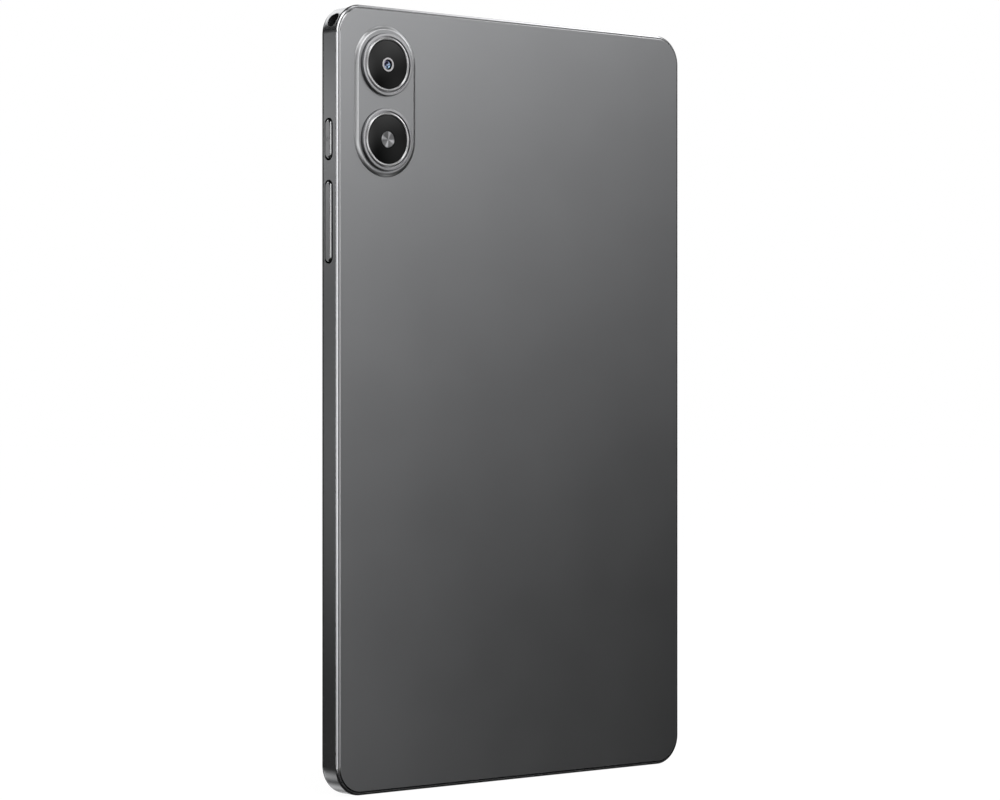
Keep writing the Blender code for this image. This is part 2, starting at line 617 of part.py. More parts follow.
def build_boards():
    """The two circuit boards with their shields and chip, the antennas and the screws."""
    board, through, room = (BOARD_BACK, BOARD_FRONT), (3.0, 5.0), 0.4
    main = block("mainboard", BOARD_GREEN, (-56.5, 55.5), (BOARD_BOTTOM, BOARD_TOP), board)
    reach = CAMERA_MODULE / 2 + room
    around_x = (ISLAND_X - reach, ISLAND_X + reach)
    around_z = (WINDOW_Z[0] - reach, WINDOW_Z[0] + reach)
    combine(main, block_tool("cut_board_camera", around_x, around_z, through))
    clearance = JACK_BODY_W / 2 + room
    jack_notch = prism(rectangle((-3.0, 3.0), (-clearance, clearance)), -JACK_END - room, OVERSHOOT, "X")
    combine(main, tool("cut_board_jack", jack_notch, jack_axis))
    flex_x, flex_z = DISPLAY_FLEX_SLOT
    combine(main, block_tool("cut_board_flex_notch", flex_x, (flex_z[0] - room, BOARD_TOP + 1), through))
    combine(main, screw_hole_tool("cut_board_screw_holes", BOARD_BACK - 0.5, BOARD_FRONT + 0.2))

    sub = block("sub_board", BOARD_GREEN, (-31.5, 31.5), (3.2, 22.0), board)
    combine(sub, block_tool("cut_sub_board_usb", (-5.0, 5.0), (0.0, 8.2), through))
    combine(sub, screw_hole_tool("cut_sub_board_holes", BOARD_BACK - 0.5, BOARD_FRONT + 0.2))

    wall = 0.25
    shields = (
        ("soc_shield", (-22.0, 6.0), (170.0, 196.0), 1.3),
        ("radio_shield", (12.0, 34.0), (168.0, 190.0), 1.7),
    )
    for name, x, z, back in shields:
        can = block(name, SPRING_STEEL, x, z, (back, 3.6))
        inside_x = (x[0] + wall, x[1] - wall)
        inside_z = (z[0] + wall, z[1] - wall)
        combine(can, block_tool(f"cut_{name}", inside_x, inside_z, (back + wall, 5.0)))
    block("processor", BLACK_PLASTIC, (-15.0, -1.0), (176.0, 190.0), (2.4, 3.6))
    block("wifi_antenna", FLEX_AMBER, (-52.0, -36.0), (204.4, 208.0), (1.3, 2.6))
    block("side_antenna", FLEX_AMBER, (-59.8, -58.6), (70.0, 110.0), (1.4, 4.4))

    seat, crown, top = -BOARD_BACK + 0.06, -BOARD_BACK + 0.5, -BOARD_BACK + 0.6
    screw = [
        (SCREW_SHANK_R, -MIDPLATE_FRONT), (SCREW_SHANK_R, seat),
        (SCREW_HEAD_R, seat), (SCREW_HEAD_R, crown), (SCREW_HEAD_R - 0.25, top),
    ]
    for number, (x, z) in enumerate(SCREW_PLACES, 1):
        piece(f"board_screw_{number}", turned(screw, 10), SPRING_STEEL, tablet, (x, 0.0, z))


def build_battery():
    """The pouch cell, its lead, the heat spreader, and the cables between the boards."""
    half = (BATTERY_FRONT - BATTERY_BACK) / 2
    middle = (0.0, -(BATTERY_FRONT + BATTERY_BACK) / 2, BATTERY_BOTTOM + BATTERY_H / 2)
    outline = rounded_rectangle(BATTERY_W, BATTERY_H, 2.0, steps=4)
    piece("battery", prism(outline, -half, half), POUCH_GREY, tablet, middle)
    top = BATTERY_BOTTOM + BATTERY_H
    block("battery_lead", FLEX_AMBER, (-5.0, 5.0), (top + 0.2, top + 8.0), (2.9, 3.4))
    block("heat_spreader", GRAPHITE, (-44.0, 44.0), (54.0, 150.0), (0.87, 0.97))
    route = [
        (18.0, 14.0), (30.0, 14.0), (30.0, 28.0), (55.0, 28.0),
        (55.0, 166.0), (51.0, 166.0), (51.0, 34.0), (18.0, 34.0),
    ]
    piece("main_flex", prism(route, -3.55, -3.4), FLEX_AMBER, tablet)
    cable = prism(circle(0.45, 10), 21.0, 166.0, "Z")
    piece("antenna_cable", cable, BLACK_PLASTIC, tablet, (-53.0, -2.0, 0.0))


# ---------------------------------------------------------------- assembly

for old in list(bpy.data.objects):
    bpy.data.objects.remove(old, do_unlink=True)

tablet = empty("tablet", (0.0, BODY_T / 2, 0.0))
island = empty("island", (ISLAND_X, 0.0, ISLAND_Z), tablet)
camera_axis = empty("camera_axis", (ISLAND_X, 0.0, WINDOW_Z[0]), tablet)
flash_axis = empty("flash_axis", (ISLAND_X, 0.0, WINDOW_Z[1]), tablet)
power_key = empty("power_key", (BODY_W / 2, -KEY_DEPTH, POWER_Z), tablet)
volume_key = empty("volume_key", (BODY_W / 2, -KEY_DEPTH, VOLUME_Z), tablet)
jack_x = BODY_W / 2 - CORNER_R + CORNER_R * math.cos(JACK_ANGLE)
jack_z = BODY_H - CORNER_R + CORNER_R * math.sin(JACK_ANGLE)
jack_axis = empty("jack_axis", (jack_x, -JACK_DEPTH, jack_z), tablet, (0.0, -JACK_ANGLE, 0.0))
usb_axis = empty("usb_axis", (0.0, -USB_DEPTH, 0.0), tablet)
tray_axis = empty("tray_axis", (-BODY_W / 2, -TRAY_DEPTH, TRAY_Z), tablet)
lever_axis = empty("lever_axis", (LEVER_X, -TRAY_DEPTH, TRAY_Z + LEVER_OFFSET), tablet)

build_mid_frame()
build_rear_cover()
build_camera_deck()
build_front()
build_rear_camera()
build_front_camera()
build_keys()
build_ports()
build_card_tray()
build_boards()
build_battery()
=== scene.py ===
"""Looks of the tablet computer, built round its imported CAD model.

Lengths are in millimetres, and MM turns them into Blender's metres. As in the CAD model, "depth"
is the distance in front of the back plane, towards the screen, and "inset" is the distance inside
the outline of the side walls. Outlines lie across their piece's axis, which is X, Y or Z.
"""

import math

import bmesh
import bpy
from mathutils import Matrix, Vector


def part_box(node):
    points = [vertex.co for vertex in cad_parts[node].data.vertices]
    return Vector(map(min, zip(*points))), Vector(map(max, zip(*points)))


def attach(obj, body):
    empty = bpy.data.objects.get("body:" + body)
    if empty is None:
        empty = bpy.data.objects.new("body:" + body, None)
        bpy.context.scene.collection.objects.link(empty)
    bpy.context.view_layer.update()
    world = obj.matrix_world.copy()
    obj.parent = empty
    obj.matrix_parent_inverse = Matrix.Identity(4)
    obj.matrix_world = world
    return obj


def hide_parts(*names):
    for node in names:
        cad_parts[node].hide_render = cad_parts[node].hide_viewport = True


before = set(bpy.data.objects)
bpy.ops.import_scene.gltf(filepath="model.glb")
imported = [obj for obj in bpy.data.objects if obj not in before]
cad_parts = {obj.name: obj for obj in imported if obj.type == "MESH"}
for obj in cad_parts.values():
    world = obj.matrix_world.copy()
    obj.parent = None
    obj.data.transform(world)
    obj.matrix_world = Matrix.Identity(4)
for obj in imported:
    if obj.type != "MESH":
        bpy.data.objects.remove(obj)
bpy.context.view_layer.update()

MM = 0.001


def box_mm(node):
    """Lowest and highest corner of a CAD node, in millimetres."""
    low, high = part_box(node)
    return low / MM, high / MM


def middle_of(node):
    """Middle of a CAD node's box, in millimetres."""
    low, high = box_mm(node)
    return (low + high) / 2


# ---------------------------------------------------------------- sizes

frame_low, frame_high = box_mm("mid_frame")
BODY_W = frame_high.x - frame_low.x
BODY_H = frame_high.z - frame_low.z
BACK = box_mm("rear_cover")[1].y
BODY_T = BACK - box_mm("front_glass")[0].y
MIDDLE = Vector((0.0, 0.0, BODY_H / 2))

CORNER_R = 8.0
REAR_CHAMFER = 0.48
REAR_RIM_DEPTH = 0.30
FRONT_ROUND_R = 2.1
FRONT_LIP_INSET = 1.3
SOFT_EDGE = 0.04

RIM_INSET = 0.7
COVER_INSET = 0.8
COVER_T = 0.8
COVER_SEAT = 0.9
BAY_INSET = 2.2
DISPLAY_BAY_INSET = 3.2
TAB_SIDE = BODY_W / 2 - BAY_INSET - 0.15
TAB_LENGTH, TAB_T, TAB_END = 8.0, 0.7, 1.9
TAB_PLACES = (60.0, 120.0)
MIDPLATE = (4.7, 5.3)
MIDPLATE_SLOTS = (((-47.0, -33.0), (200.8, 203.2)), ((-3.4, 3.4), (201.2, 207.4)))
GLASS_SEAT = 7.0
GLASS_SEAT_INSET = 1.35
GLASS_INSET = 1.45
GLASS_BACK = 7.3

island = middle_of("camera_deck")
camera = middle_of("upper_lens_ring")
flash = middle_of("lower_lens_ring")
deck_low, deck_high = box_mm("camera_deck")
ISLAND_W = deck_high.x - deck_low.x
ISLAND_H = deck_high.z - deck_low.z
ISLAND_PROUD = deck_high.y - BACK
ISLAND_SEAM = 0.01
ISLAND_EDGE = 1.1
WINDOW_HOLES = ((camera, 4.0), (flash, 2.6))
LENS_RING_R = 8.4
LENS_SEAT_R = 8.5
LENS_GLASS_R = 6.52
LENS_BEZEL_R = 1.92
LENS_OPENING_R = 1.38
GLASS_EDGE = 1.18
FLASH_R = 2.2

KEY_WIDTH = 2.55
KEY_GAP = 0.52
KEY_BEVEL = 0.36
KEY_PROUD = box_mm("power_button")[1].x - BODY_W / 2
POWER_LENGTH = 10.3
VOLUME_LENGTH = 21.3
KEY_WALL = 2.0
KEY_FLANGE_INSET, KEY_FLANGE_T = 2.35, 0.4
KEY_FLANGE_WIDER, KEY_FLANGE_LONGER = 1.15, 1.8
KEY_FOOT_R = 0.8
KEY_POCKET_INSET, KEY_POCKET_DEPTH = 5.6, (1.9, 5.75)

JACK_ANGLE = math.radians(28.0)
JACK_DEPTH = 3.1
JACK_MOUTH_R = 2.05
JACK_LIP = 0.2
JACK_START, JACK_END = 2.5, 13.1
JACK_ROOM, JACK_ROOM_T, JACK_ROOM_W = 0.2, 2.3, 3.0

USB_W, USB_T, USB_LENGTH, USB_GAP = 8.94, 3.16, 7.25, 0.15
TONGUE_W, TONGUE_T = 6.7, 0.7
TRAY_LENGTH, TRAY_WIDTH, TRAY_GAP = 18.0, 2.3, 0.2
PORT_DEPTH = 3.7
SPEAKER_HOLES, SPEAKER_HOLE_PITCH, SPEAKER_HOLE_R = 7, 2.3, 0.6
MIC_HOLE_R = 0.45

CORNER_STEPS = 20
ISLAND_STEPS = 64
ROUND_STEPS = 96
OVERSHOOT = 2.0


# ---------------------------------------------------------------- materials

def add(tree, kind, inputs=None, **settings):
    """A shader node with its settings and with values or links on its inputs."""
    node = tree.nodes.new(kind)
    for key, value in settings.items():
        setattr(node, key, value)
    for key, value in (inputs or {}).items():
        if isinstance(value, bpy.types.NodeSocket):
            tree.links.new(value, node.inputs[key])
        else:
            node.inputs[key].default_value = value
    return node


def new_material(name, colour, roughness, metallic=0.0, sockets=None):
    """A Principled material, its node tree, its shader and the object coordinates."""
    made = bpy.data.materials.new(name)
    made.use_nodes = True
    tree = made.node_tree
    shader = tree.nodes["Principled BSDF"]
    shader.inputs["Base Color"].default_value = (*colour, 1.0)
    shader.inputs["Roughness"].default_value = roughness
    shader.inputs["Metallic"].default_value = metallic
    for key, value in (sockets or {}).items():
        shader.inputs[key].default_value = value
    place = add(tree, "ShaderNodeTexCoord").outputs["Object"]
    return made, tree, shader, place


def scaled(colour, factor=1.0):
    """A lighter or darker shade of a colour, with alpha."""
    return (*[min(1.0, channel * factor) for channel in colour], 1.0)


def maths(tree, operation, *values):
    """The result of a sum on numbers."""
    return add(tree, "ShaderNodeMath", dict(enumerate(values)), operation=operation).outputs["Value"]


def vector_maths(tree, operation, *values):
    """The result of a sum on vectors, which is a number for a length."""
    made = add(tree, "ShaderNodeVectorMath", dict(enumerate(values)), operation=operation)
    return made.outputs["Value" if operation == "LENGTH" else "Vector"]


def remap(tree, value, start=0.0, end=1.0, low=0.0, high=1.0, curve="LINEAR"):
    """The value's place between start and end, as a number between low and high."""
    ranges = {"Value": value, "From Min": start, "From Max": end, "To Min": low, "To Max": high}
    return add(tree, "ShaderNodeMapRange", ranges, interpolation_type=curve).outputs["Result"]


def blend(tree, factor, first, second, mode="MIX"):
    """A colour between two, by a 0 to 1 factor."""
    colours = {"Factor": factor, "A": first, "B": second}
    return add(tree, "ShaderNodeMix", colours, data_type="RGBA", blend_type=mode).outputs["Result"]


def vary(tree, shader, pattern, colour, spread, roughness, rough_spread):
    """Spread the colour and the roughness a little about their means by a 0 to 1 pattern."""
    shades = blend(tree, pattern, scaled(colour, 1 - spread), scaled(colour, 1 + spread))
    tree.links.new(shades, shader.inputs["Base Color"])
    rough = remap(tree, pattern, low=roughness - rough_spread, high=roughness + rough_spread)
    tree.links.new(rough, shader.inputs["Roughness"])


def emboss(tree, shader, pattern, height):
    """Raise the surface by a pattern, by a height in millimetres."""
    bump = add(tree, "ShaderNodeBump", {"Height": pattern, "Distance": height * MM, "Strength": 1.0})
    tree.links.new(bump.outputs["Normal"], shader.inputs["Normal"])


def noise(tree, place, size, detail=2.0, stretch=(1.0, 1.0, 1.0)):
    """A 0 to 1 noise whose features are about that many millimetres across."""
    stretched = add(tree, "ShaderNodeMapping", {"Vector": place, "Scale": stretch})
    made = add(tree, "ShaderNodeTexNoise", {
        "Vector": stretched.outputs["Vector"], "Scale": 1 / (size * MM), "Detail": detail})
    return made.outputs["Fac"]


def satin_metal(name, colour, roughness):
    """Fine bead-blasted and anodised metal: a tight grain and very faint clouds."""
    made, tree, shader, place = new_material(name, colour, roughness, 1.0)
    grain = noise(tree, place, 0.11, 3.0)
    clouds = noise(tree, place, 24.0, 3.0)
    both = add(tree, "ShaderNodeMix", {"Factor": 0.35, "A": grain, "B": clouds}, data_type="FLOAT")
    vary(tree, shader, both.outputs["Result"], colour, 0.07, roughness, 0.05)
    emboss(tree, shader, grain, 0.0012)
    return made


def polished_metal(name, colour, roughness):
    """Metal cut by a diamond tool: bright, with very fine tool lines along the edge."""
    made, tree, shader, place = new_material(name, colour, roughness, 1.0)
    lines = noise(tree, place, 0.05, 2.0, (1.0, 1.0, 0.03))
    vary(tree, shader, lines, colour, 0.02, roughness, 0.02)
    emboss(tree, shader, lines, 0.0001)
    return made


def turned_metal(name, colour, roughness):
    """Metal turned on a lathe, with very fine rings round its axis."""
    made, tree, shader, place = new_material(name, colour, roughness, 1.0)
    wave = add(tree, "ShaderNodeTexWave", {"Vector": place, "Scale": 5200.0, "Distortion": 0.6},
               wave_type="RINGS", rings_direction="Y")
    vary(tree, shader, wave.outputs["Fac"], colour, 0.05, roughness, 0.03)
    emboss(tree, shader, wave.outputs["Fac"], 0.0003)
    return made


def fine_plastic(name, colour, roughness):
    """Moulded plastic with a fine spark-eroded grain."""
    made, tree, shader, place = new_material(name, colour, roughness)
    grain = noise(tree, place, 0.09, 3.0)
    vary(tree, shader, grain, colour, 0.18, roughness, 0.06)
    emboss(tree, shader, grain, 0.004)
    return made


def brushed_metal(name, colour, roughness, stretch=(1.0, 1.0, 0.02)):
    """Rolled sheet metal with long fine scratches."""
    made, tree, shader, place = new_material(name, colour, roughness, 1.0)
    lines = noise(tree, place, 0.06, 4.0, stretch)
    vary(tree, shader, lines, colour, 0.12, roughness, 0.08)
    emboss(tree, shader, lines, 0.0015)
    return made


def black_glass(name):
    """Glass printed black on its inner side, with a faint uneven film on it."""
    colour, roughness = (0.0016, 0.0018, 0.0018), 0.1
    sockets = {"IOR": 1.55, "Specular IOR Level": 0.25}
    made, tree, shader, place = new_material(name, colour, roughness, sockets=sockets)
    vary(tree, shader, noise(tree, place, 9.0, 3.0), colour, 0.2, roughness, 0.02)
    return made


def screen_glass(name):
    """The cover glass: black border, a slightly greyer screen that is off, and the camera's eye."""
    border, screen, eye = (0.0022, 0.0022, 0.0025), (0.0075, 0.0078, 0.0085), (0.010, 0.012, 0.022)
    hidden_edge, eye_r = 1.0 * MM, 1.5 * MM
    made, tree, shader, place = new_material(name, border, 0.03, sockets={"IOR": 1.52})
    low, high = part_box("display_panel")
    half, centre = (high - low) / 2, (high + low) / 2
    moved = vector_maths(tree, "SUBTRACT", place, tuple(centre))
    across = vector_maths(tree, "ABSOLUTE", moved)
    parts = add(tree, "ShaderNodeSeparateXYZ", {"Vector": across}).outputs
    in_width = maths(tree, "LESS_THAN", parts["X"], half.x - hidden_edge)
    in_height = maths(tree, "LESS_THAN", parts["Z"], half.z - hidden_edge)
    in_screen = maths(tree, "MULTIPLY", in_width, in_height)
    lens = middle_of("front_camera") * MM
    from_lens = vector_maths(tree, "SUBTRACT", place, (lens.x, 0.0, lens.z))
    flat = vector_maths(tree, "MULTIPLY", from_lens, (1.0, 0.0, 1.0))
    in_eye = maths(tree, "LESS_THAN", vector_maths(tree, "LENGTH", flat), eye_r)
    field = blend(tree, in_screen, scaled(border), scaled(screen))
    with_eye = blend(tree, in_eye, field, scaled(eye))
    grained = blend(tree, 0.25, with_eye, noise(tree, place, 0.05, 1.0), "MULTIPLY")
    tree.links.new(grained, shader.inputs["Base Color"])
    rough = remap(tree, noise(tree, place, 14.0, 3.0), low=0.02, high=0.06)
    tree.links.new(rough, shader.inputs["Roughness"])
    return made


def coated_lens(name):
    """A dark lens whose anti-glare coating turns from blue to violet across it."""
    made, tree, shader, place = new_material(name, (0.003, 0.003, 0.006), 0.1, sockets={"IOR": 3.4})
    parts = add(tree, "ShaderNodeSeparateXYZ", {"Vector": place}).outputs
    share = remap(tree, maths(tree, "ADD", parts["X"], parts["Z"]), -1.5 * MM, 1.5 * MM)
    tint = blend(tree, share, (0.45, 0.75, 1.0, 1.0), (0.72, 0.62, 1.0, 1.0))
    tree.links.new(tint, shader.inputs["Specular Tint"])
    rough = remap(tree, noise(tree, place, 0.4), low=0.06, high=0.10)
    tree.links.new(rough, shader.inputs["Roughness"])
    return made


def flash_plastic(name):
    """The flash's moulded lens: grey, with four lighter sectors round its middle and fine rings."""
    colour, sectors = (0.17, 0.17, 0.175), 4.0
    made, tree, shader, place = new_material(name, colour, 0.3, 0.35)
    parts = add(tree, "ShaderNodeSeparateXYZ", {"Vector": place}).outputs
    angle = maths(tree, "ARCTAN2", parts["Z"], parts["X"])
    beam = maths(tree, "SINE", maths(tree, "MULTIPLY_ADD", angle, sectors, 0.5))
    shades = blend(tree, remap(tree, beam, 0.1, 0.95), scaled(colour, 0.75), scaled(colour, 2.6))
    tree.links.new(shades, shader.inputs["Base Color"])
    rings = add(tree, "ShaderNodeTexWave", {"Vector": place, "Scale": 900.0},
                wave_type="RINGS", rings_direction="Y")
    emboss(tree, shader, rings.outputs["Fac"], 0.02)
    return made


def board_mask(name):
    """Solder mask over copper: fine tracks, and a few gold pads."""
    colour, gold = (0.010, 0.060, 0.032), (0.75, 0.55, 0.22, 1.0)
    made, tree, shader, place = new_material(name, colour, 0.35)
    upright = add(tree, "ShaderNodeMapping", {"Vector": place, "Rotation": (math.pi / 2, 0.0, 0.0)})
    tracks = add(tree, "ShaderNodeTexBrick", {
        "Vector": upright.outputs["Vector"],
        "Color1": scaled(colour, 0.85), "Color2": scaled(colour, 1.1), "Mortar": scaled(colour, 2.2),
        "Scale": 420.0, "Mortar Size": 0.035, "Brick Width": 0.9, "Row Height": 0.35,
    })
    dots = add(tree, "ShaderNodeTexVoronoi", {"Vector": place, "Scale": 380.0})
    pads = maths(tree, "LESS_THAN", dots.outputs["Distance"], 0.16)
    tree.links.new(blend(tree, pads, tracks.outputs["Color"], gold), shader.inputs["Base Color"])
    tree.links.new(pads, shader.inputs["Metallic"])
    emboss(tree, shader, tracks.outputs["Fac"], 0.02)
    return made


def flex_film(name):
    """Amber polyimide film with copper lines inside."""
    colour = (0.42, 0.17, 0.03)
    made, tree, shader, place = new_material(name, colour, 0.3)
    lines = add(tree, "ShaderNodeTexWave", {"Vector": place, "Scale": 300.0, "Distortion": 0.4},
                bands_direction="X")
    vary(tree, shader, remap(tree, lines.outputs["Fac"], 0.55, 0.7), colour, 0.45, 0.3, 0.05)
    return made


def pouch_foil(name):
    """The battery's laminated pouch: satin foil with soft wrinkles."""
    colour = (0.30, 0.30, 0.32)
    made, tree, shader, place = new_material(name, colour, 0.38, 0.7)
    wrinkles = noise(tree, place, 6.0, 5.0)
    vary(tree, shader, wrinkles, colour, 0.12, 0.38, 0.08)
    emboss(tree, shader, wrinkles, 0.12)
    return made


def phosphor(name):
    """The flash LED's yellow phosphor, slightly speckled."""
    colour = (0.80, 0.66, 0.12)
    made, tree, shader, place = new_material(name, colour, 0.45)
    vary(tree, shader, noise(tree, place, 0.12, 3.0), colour, 0.12, 0.45, 0.08)
    return made


ANODISED = satin_metal("anodised_satin", (0.30, 0.303, 0.31), 0.34)
WALL_METAL = satin_metal("anodised_wall", (0.30, 0.303, 0.31), 0.26)
COVER_EDGE = satin_metal("cover_edge", (0.30, 0.30, 0.305), 0.26)
ISLAND_RIM = satin_metal("island_rim", (0.42, 0.423, 0.43), 0.34)
POLISHED = polished_metal("polished_edge", (0.66, 0.66, 0.68), 0.22)
RING_METAL = turned_metal("turned_ring", (0.36, 0.36, 0.37), 0.30)
RING_BEVEL = turned_metal("turned_bevel", (0.46, 0.46, 0.465), 0.30)
KEY_METAL = satin_metal("key_metal", (0.38, 0.383, 0.39), 0.28)
KEY_EDGE = satin_metal("key_edge", (0.48, 0.483, 0.49), 0.24)
BEZEL_METAL = turned_metal("bezel_metal", (0.50, 0.49, 0.50), 0.32)
GLASS = black_glass("window_glass")
SCREEN = screen_glass("screen_glass")
LENS = coated_lens("coated_lens")
FLASH = flash_plastic("flash_lens_plastic")
PLASTIC = fine_plastic("black_plastic_grain", (0.018, 0.018, 0.020), 0.5)
MARK = fine_plastic("engraved_mark", (0.03, 0.03, 0.032), 0.6)
STEEL = brushed_metal("rolled_steel", (0.52, 0.52, 0.53), 0.32)
GOLD = brushed_metal("gold_contacts", (0.83, 0.60, 0.27), 0.24)
PANEL = brushed_metal("panel_reflector", (0.60, 0.60, 0.62), 0.26, (0.02, 1.0, 1.0))
BOARD = board_mask("solder_mask")
FILM = flex_film("polyimide_film")
POUCH = pouch_foil("pouch_foil")
TAPE = fine_plastic("foam_tape", (0.014, 0.014, 0.014), 0.85)
GRAPHITE = brushed_metal("graphite_sheet", (0.06, 0.06, 0.065), 0.42, (0.04, 1.0, 1.0))
PHOSPHOR = phosphor("phosphor")

SLOT_LOOKS = {
    "casing": ANODISED,
    "bright_metal": POLISHED,
    "black_glass": GLASS,
    "clear_lens": FLASH,
    "black_plastic": PLASTIC,
    "steel": STEEL,
    "circuit_board": BOARD,
    "flex_film": FILM,
    "battery_pouch": POUCH,
    "display_module": PANEL,
    "tape": TAPE,
    "graphite": GRAPHITE,
    "led_phosphor": PHOSPHOR,
}


# ---------------------------------------------------------------- outlines

def rounded_rectangle(width, height, radius, steps=CORNER_STEPS):
    """Outline of a rectangle with round corners, anticlockwise."""
    points = []
    for quarter, (side_a, side_b) in enumerate(((1, 1), (-1, 1), (-1, -1), (1, -1))):
        centre = (side_a * (width / 2 - radius), side_b * (height / 2 - radius))
        for step in range(steps + 1):
            angle = (quarter + step / steps) * math.pi / 2
            points.append((centre[0] + radius * math.cos(angle), centre[1] + radius * math.sin(angle)))
    return points


def body_outline(inset):
    """Outline of the body, moved inwards by the inset, about the middle of its height."""
    return rounded_rectangle(BODY_W - 2 * inset, BODY_H - 2 * inset, CORNER_R - inset)


def pill(width, length, steps=24):
    """Outline with straight sides along the second coordinate and two half-round ends."""
    return rounded_rectangle(width, length, width / 2, steps // 2)


def lying(outline):
    """The same outline with its two coordinates exchanged."""
    return [(b, a) for a, b in outline]


def circle(radius, steps=32, centre=(0.0, 0.0)):
    """Outline of a circle."""
    a, b = centre
    angles = [2 * math.pi * step / steps for step in range(steps)]
    return [(a + radius * math.cos(angle), b + radius * math.sin(angle)) for angle in angles]


def rectangle(range_a, range_b):
    """Outline of a plain rectangle from its two ranges."""
    (low_a, high_a), (low_b, high_b) = range_a, range_b
    return [(low_a, low_b), (high_a, low_b), (high_a, high_b), (low_a, high_b)]


def quarter_round(inset, height, steps=8):
    """(inset, rise) along a quarter ellipse, from its foot to its crown."""
    angles = [math.pi / 2 * step / steps for step in range(steps + 1)]
    return [(inset * (1 - math.cos(angle)), height * math.sin(angle)) for angle in angles]


# ---------------------------------------------------------------- meshes

def point_along(axis, a, b, height):
    """A point from two outline coordinates and a height along X, Y or Z."""
    order = {"X": (height, a, b), "Y": (a, height, b), "Z": (a, b, height)}
    return Vector(order[axis]) * MM


def raise_rings(mesh, axis, sections):
    """Rings of corners from outlines at heights along an axis."""
    rings = []
    for outline, height in sections:
        rings.append([mesh.verts.new(point_along(axis, a, b, height)) for a, b in outline])
    return rings


def skin(mesh, rings, bright=()):
    """Faces between neighbouring rings. Bright bands get the second material."""
    for band, (lower, upper) in enumerate(zip(rings, rings[1:])):
        for index in range(len(lower)):
            after = (index + 1) % len(lower)
            face = mesh.faces.new((lower[index], lower[after], upper[after], upper[index]))
            face.material_index = 1 if band in bright else 0


def loft(sections, axis="Y", bright=(), mesh=None):
    """A closed solid through outlines at heights along an axis."""
    mesh = mesh or bmesh.new()
    rings = raise_rings(mesh, axis, sections)
    skin(mesh, rings, bright)
    mesh.faces.new(rings[0])
    mesh.faces.new(rings[-1])
    return mesh


def prism(outline, start, end, axis="Y", mesh=None):
    """A straight solid between two heights."""
    return loft([(outline, start), (outline, end)], axis, mesh=mesh)


def prisms(outlines, start, end, axis):
    """Several separate straight solids in one mesh."""
    mesh = bmesh.new()
    for outline in outlines:
        prism(outline, start, end, axis, mesh)
    return mesh


def turned_rings(mesh, profile, steps):
    """Rings of corners of a profile of (radius, height) turned about the Y axis."""
    return raise_rings(mesh, "Y", [(circle(radius, steps), height) for radius, height in profile])


def turned_ring(profile, bright=(), steps=ROUND_STEPS):
    """A ring-shaped solid from the closed outline of its section."""
    mesh = bmesh.new()
    rings = turned_rings(mesh, profile, steps)
    skin(mesh, rings + rings[:1], bright)
    return mesh


def turned_dome(profile, steps=ROUND_STEPS):
    """A solid disc from a profile that starts at its foot and ends on the Y axis."""
    mesh = bmesh.new()
    rings = turned_rings(mesh, profile[:-1], steps)
    skin(mesh, rings)
    top = mesh.verts.new(point_along("Y", 0.0, 0.0, profile[-1][1]))
    for index in range(steps):
        mesh.faces.new((rings[-1][index], rings[-1][(index + 1) % steps], top))
    mesh.faces.new(rings[0])
    return mesh


def corner_ring(profile, steps=64):
    """A ring of (radius, rise) about the X axis, whose rise starts at the body's round corner."""
    mesh = bmesh.new()
    rings = []
    for radius, rise in profile:
        ring = []
        for along, across in circle(radius, steps):
            sunk = math.sqrt(CORNER_R ** 2 - across ** 2) - CORNER_R
            ring.append(mesh.verts.new(point_along("X", along, across, sunk + rise)))
        rings.append(ring)
    skin(mesh, rings + rings[:1])
    return mesh


# ---------------------------------------------------------------- pieces

def plain_object(name, mesh, looks=(), place=(0.0, 0.0, 0.0)):
    """An object from a mesh at a place in millimetres."""
    bmesh.ops.recalc_face_normals(mesh, faces=mesh.faces)
    data = bpy.data.meshes.new(name)
    mesh.to_mesh(data)
    mesh.free()
    for look in looks:
        data.materials.append(look)
    made = bpy.data.objects.new(name, data)
    bpy.context.scene.collection.objects.link(made)
    made.location = Vector(place) * MM
    return made


def combine(target, mesh, place=(0.0, 0.0, 0.0), turn=0.0, operation="DIFFERENCE"):
    """Cut a solid out of a piece, or join it on. The turn tips the solid's X axis towards Z."""
    other = plain_object("other", mesh, place=place)
    other.rotation_euler = (0.0, -turn, 0.0)
    step = target.modifiers.new("step", "BOOLEAN")
    step.operation = operation
    step.solver = "EXACT"
    step.object = other
    evaluated = target.evaluated_get(bpy.context.evaluated_depsgraph_get())
    target.data = bpy.data.meshes.new_from_object(evaluated)
    target.modifiers.clear()
    bpy.data.objects.remove(other)


def settle(made, body, replaces=(), angle=32.0):
    """Shade a piece smooth between its edges and hang it on its CAD body."""
    made.data.shade_smooth()
    made.data.set_sharp_from_angle(angle=math.radians(angle))
    normals = made.modifiers.new("flat_faces_stay_flat", "WEIGHTED_NORMAL")
    normals.keep_sharp = True
    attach(made, body)
    if replaces:
        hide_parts(*replaces)


# ---------------------------------------------------------------- casing

def key_places():
    """(CAD node, name, body, length) of the two keys. A key's CAD node gives its middle."""
    return (
        ("power_button", "power_key_cap", "power_key", POWER_LENGTH),
        ("volume_rocker", "volume_key_cap", "volume_key", VOLUME_LENGTH),
    )


def jack_mouth():
    """Middle of the headphone opening on the corner's outer surface."""
    centre_x, centre_z = BODY_W / 2 - CORNER_R, BODY_H - CORNER_R
    return Vector((
        centre_x + CORNER_R * math.cos(JACK_ANGLE),
        BACK - JACK_DEPTH,
        centre_z + CORNER_R * math.sin(JACK_ANGLE),
    ))


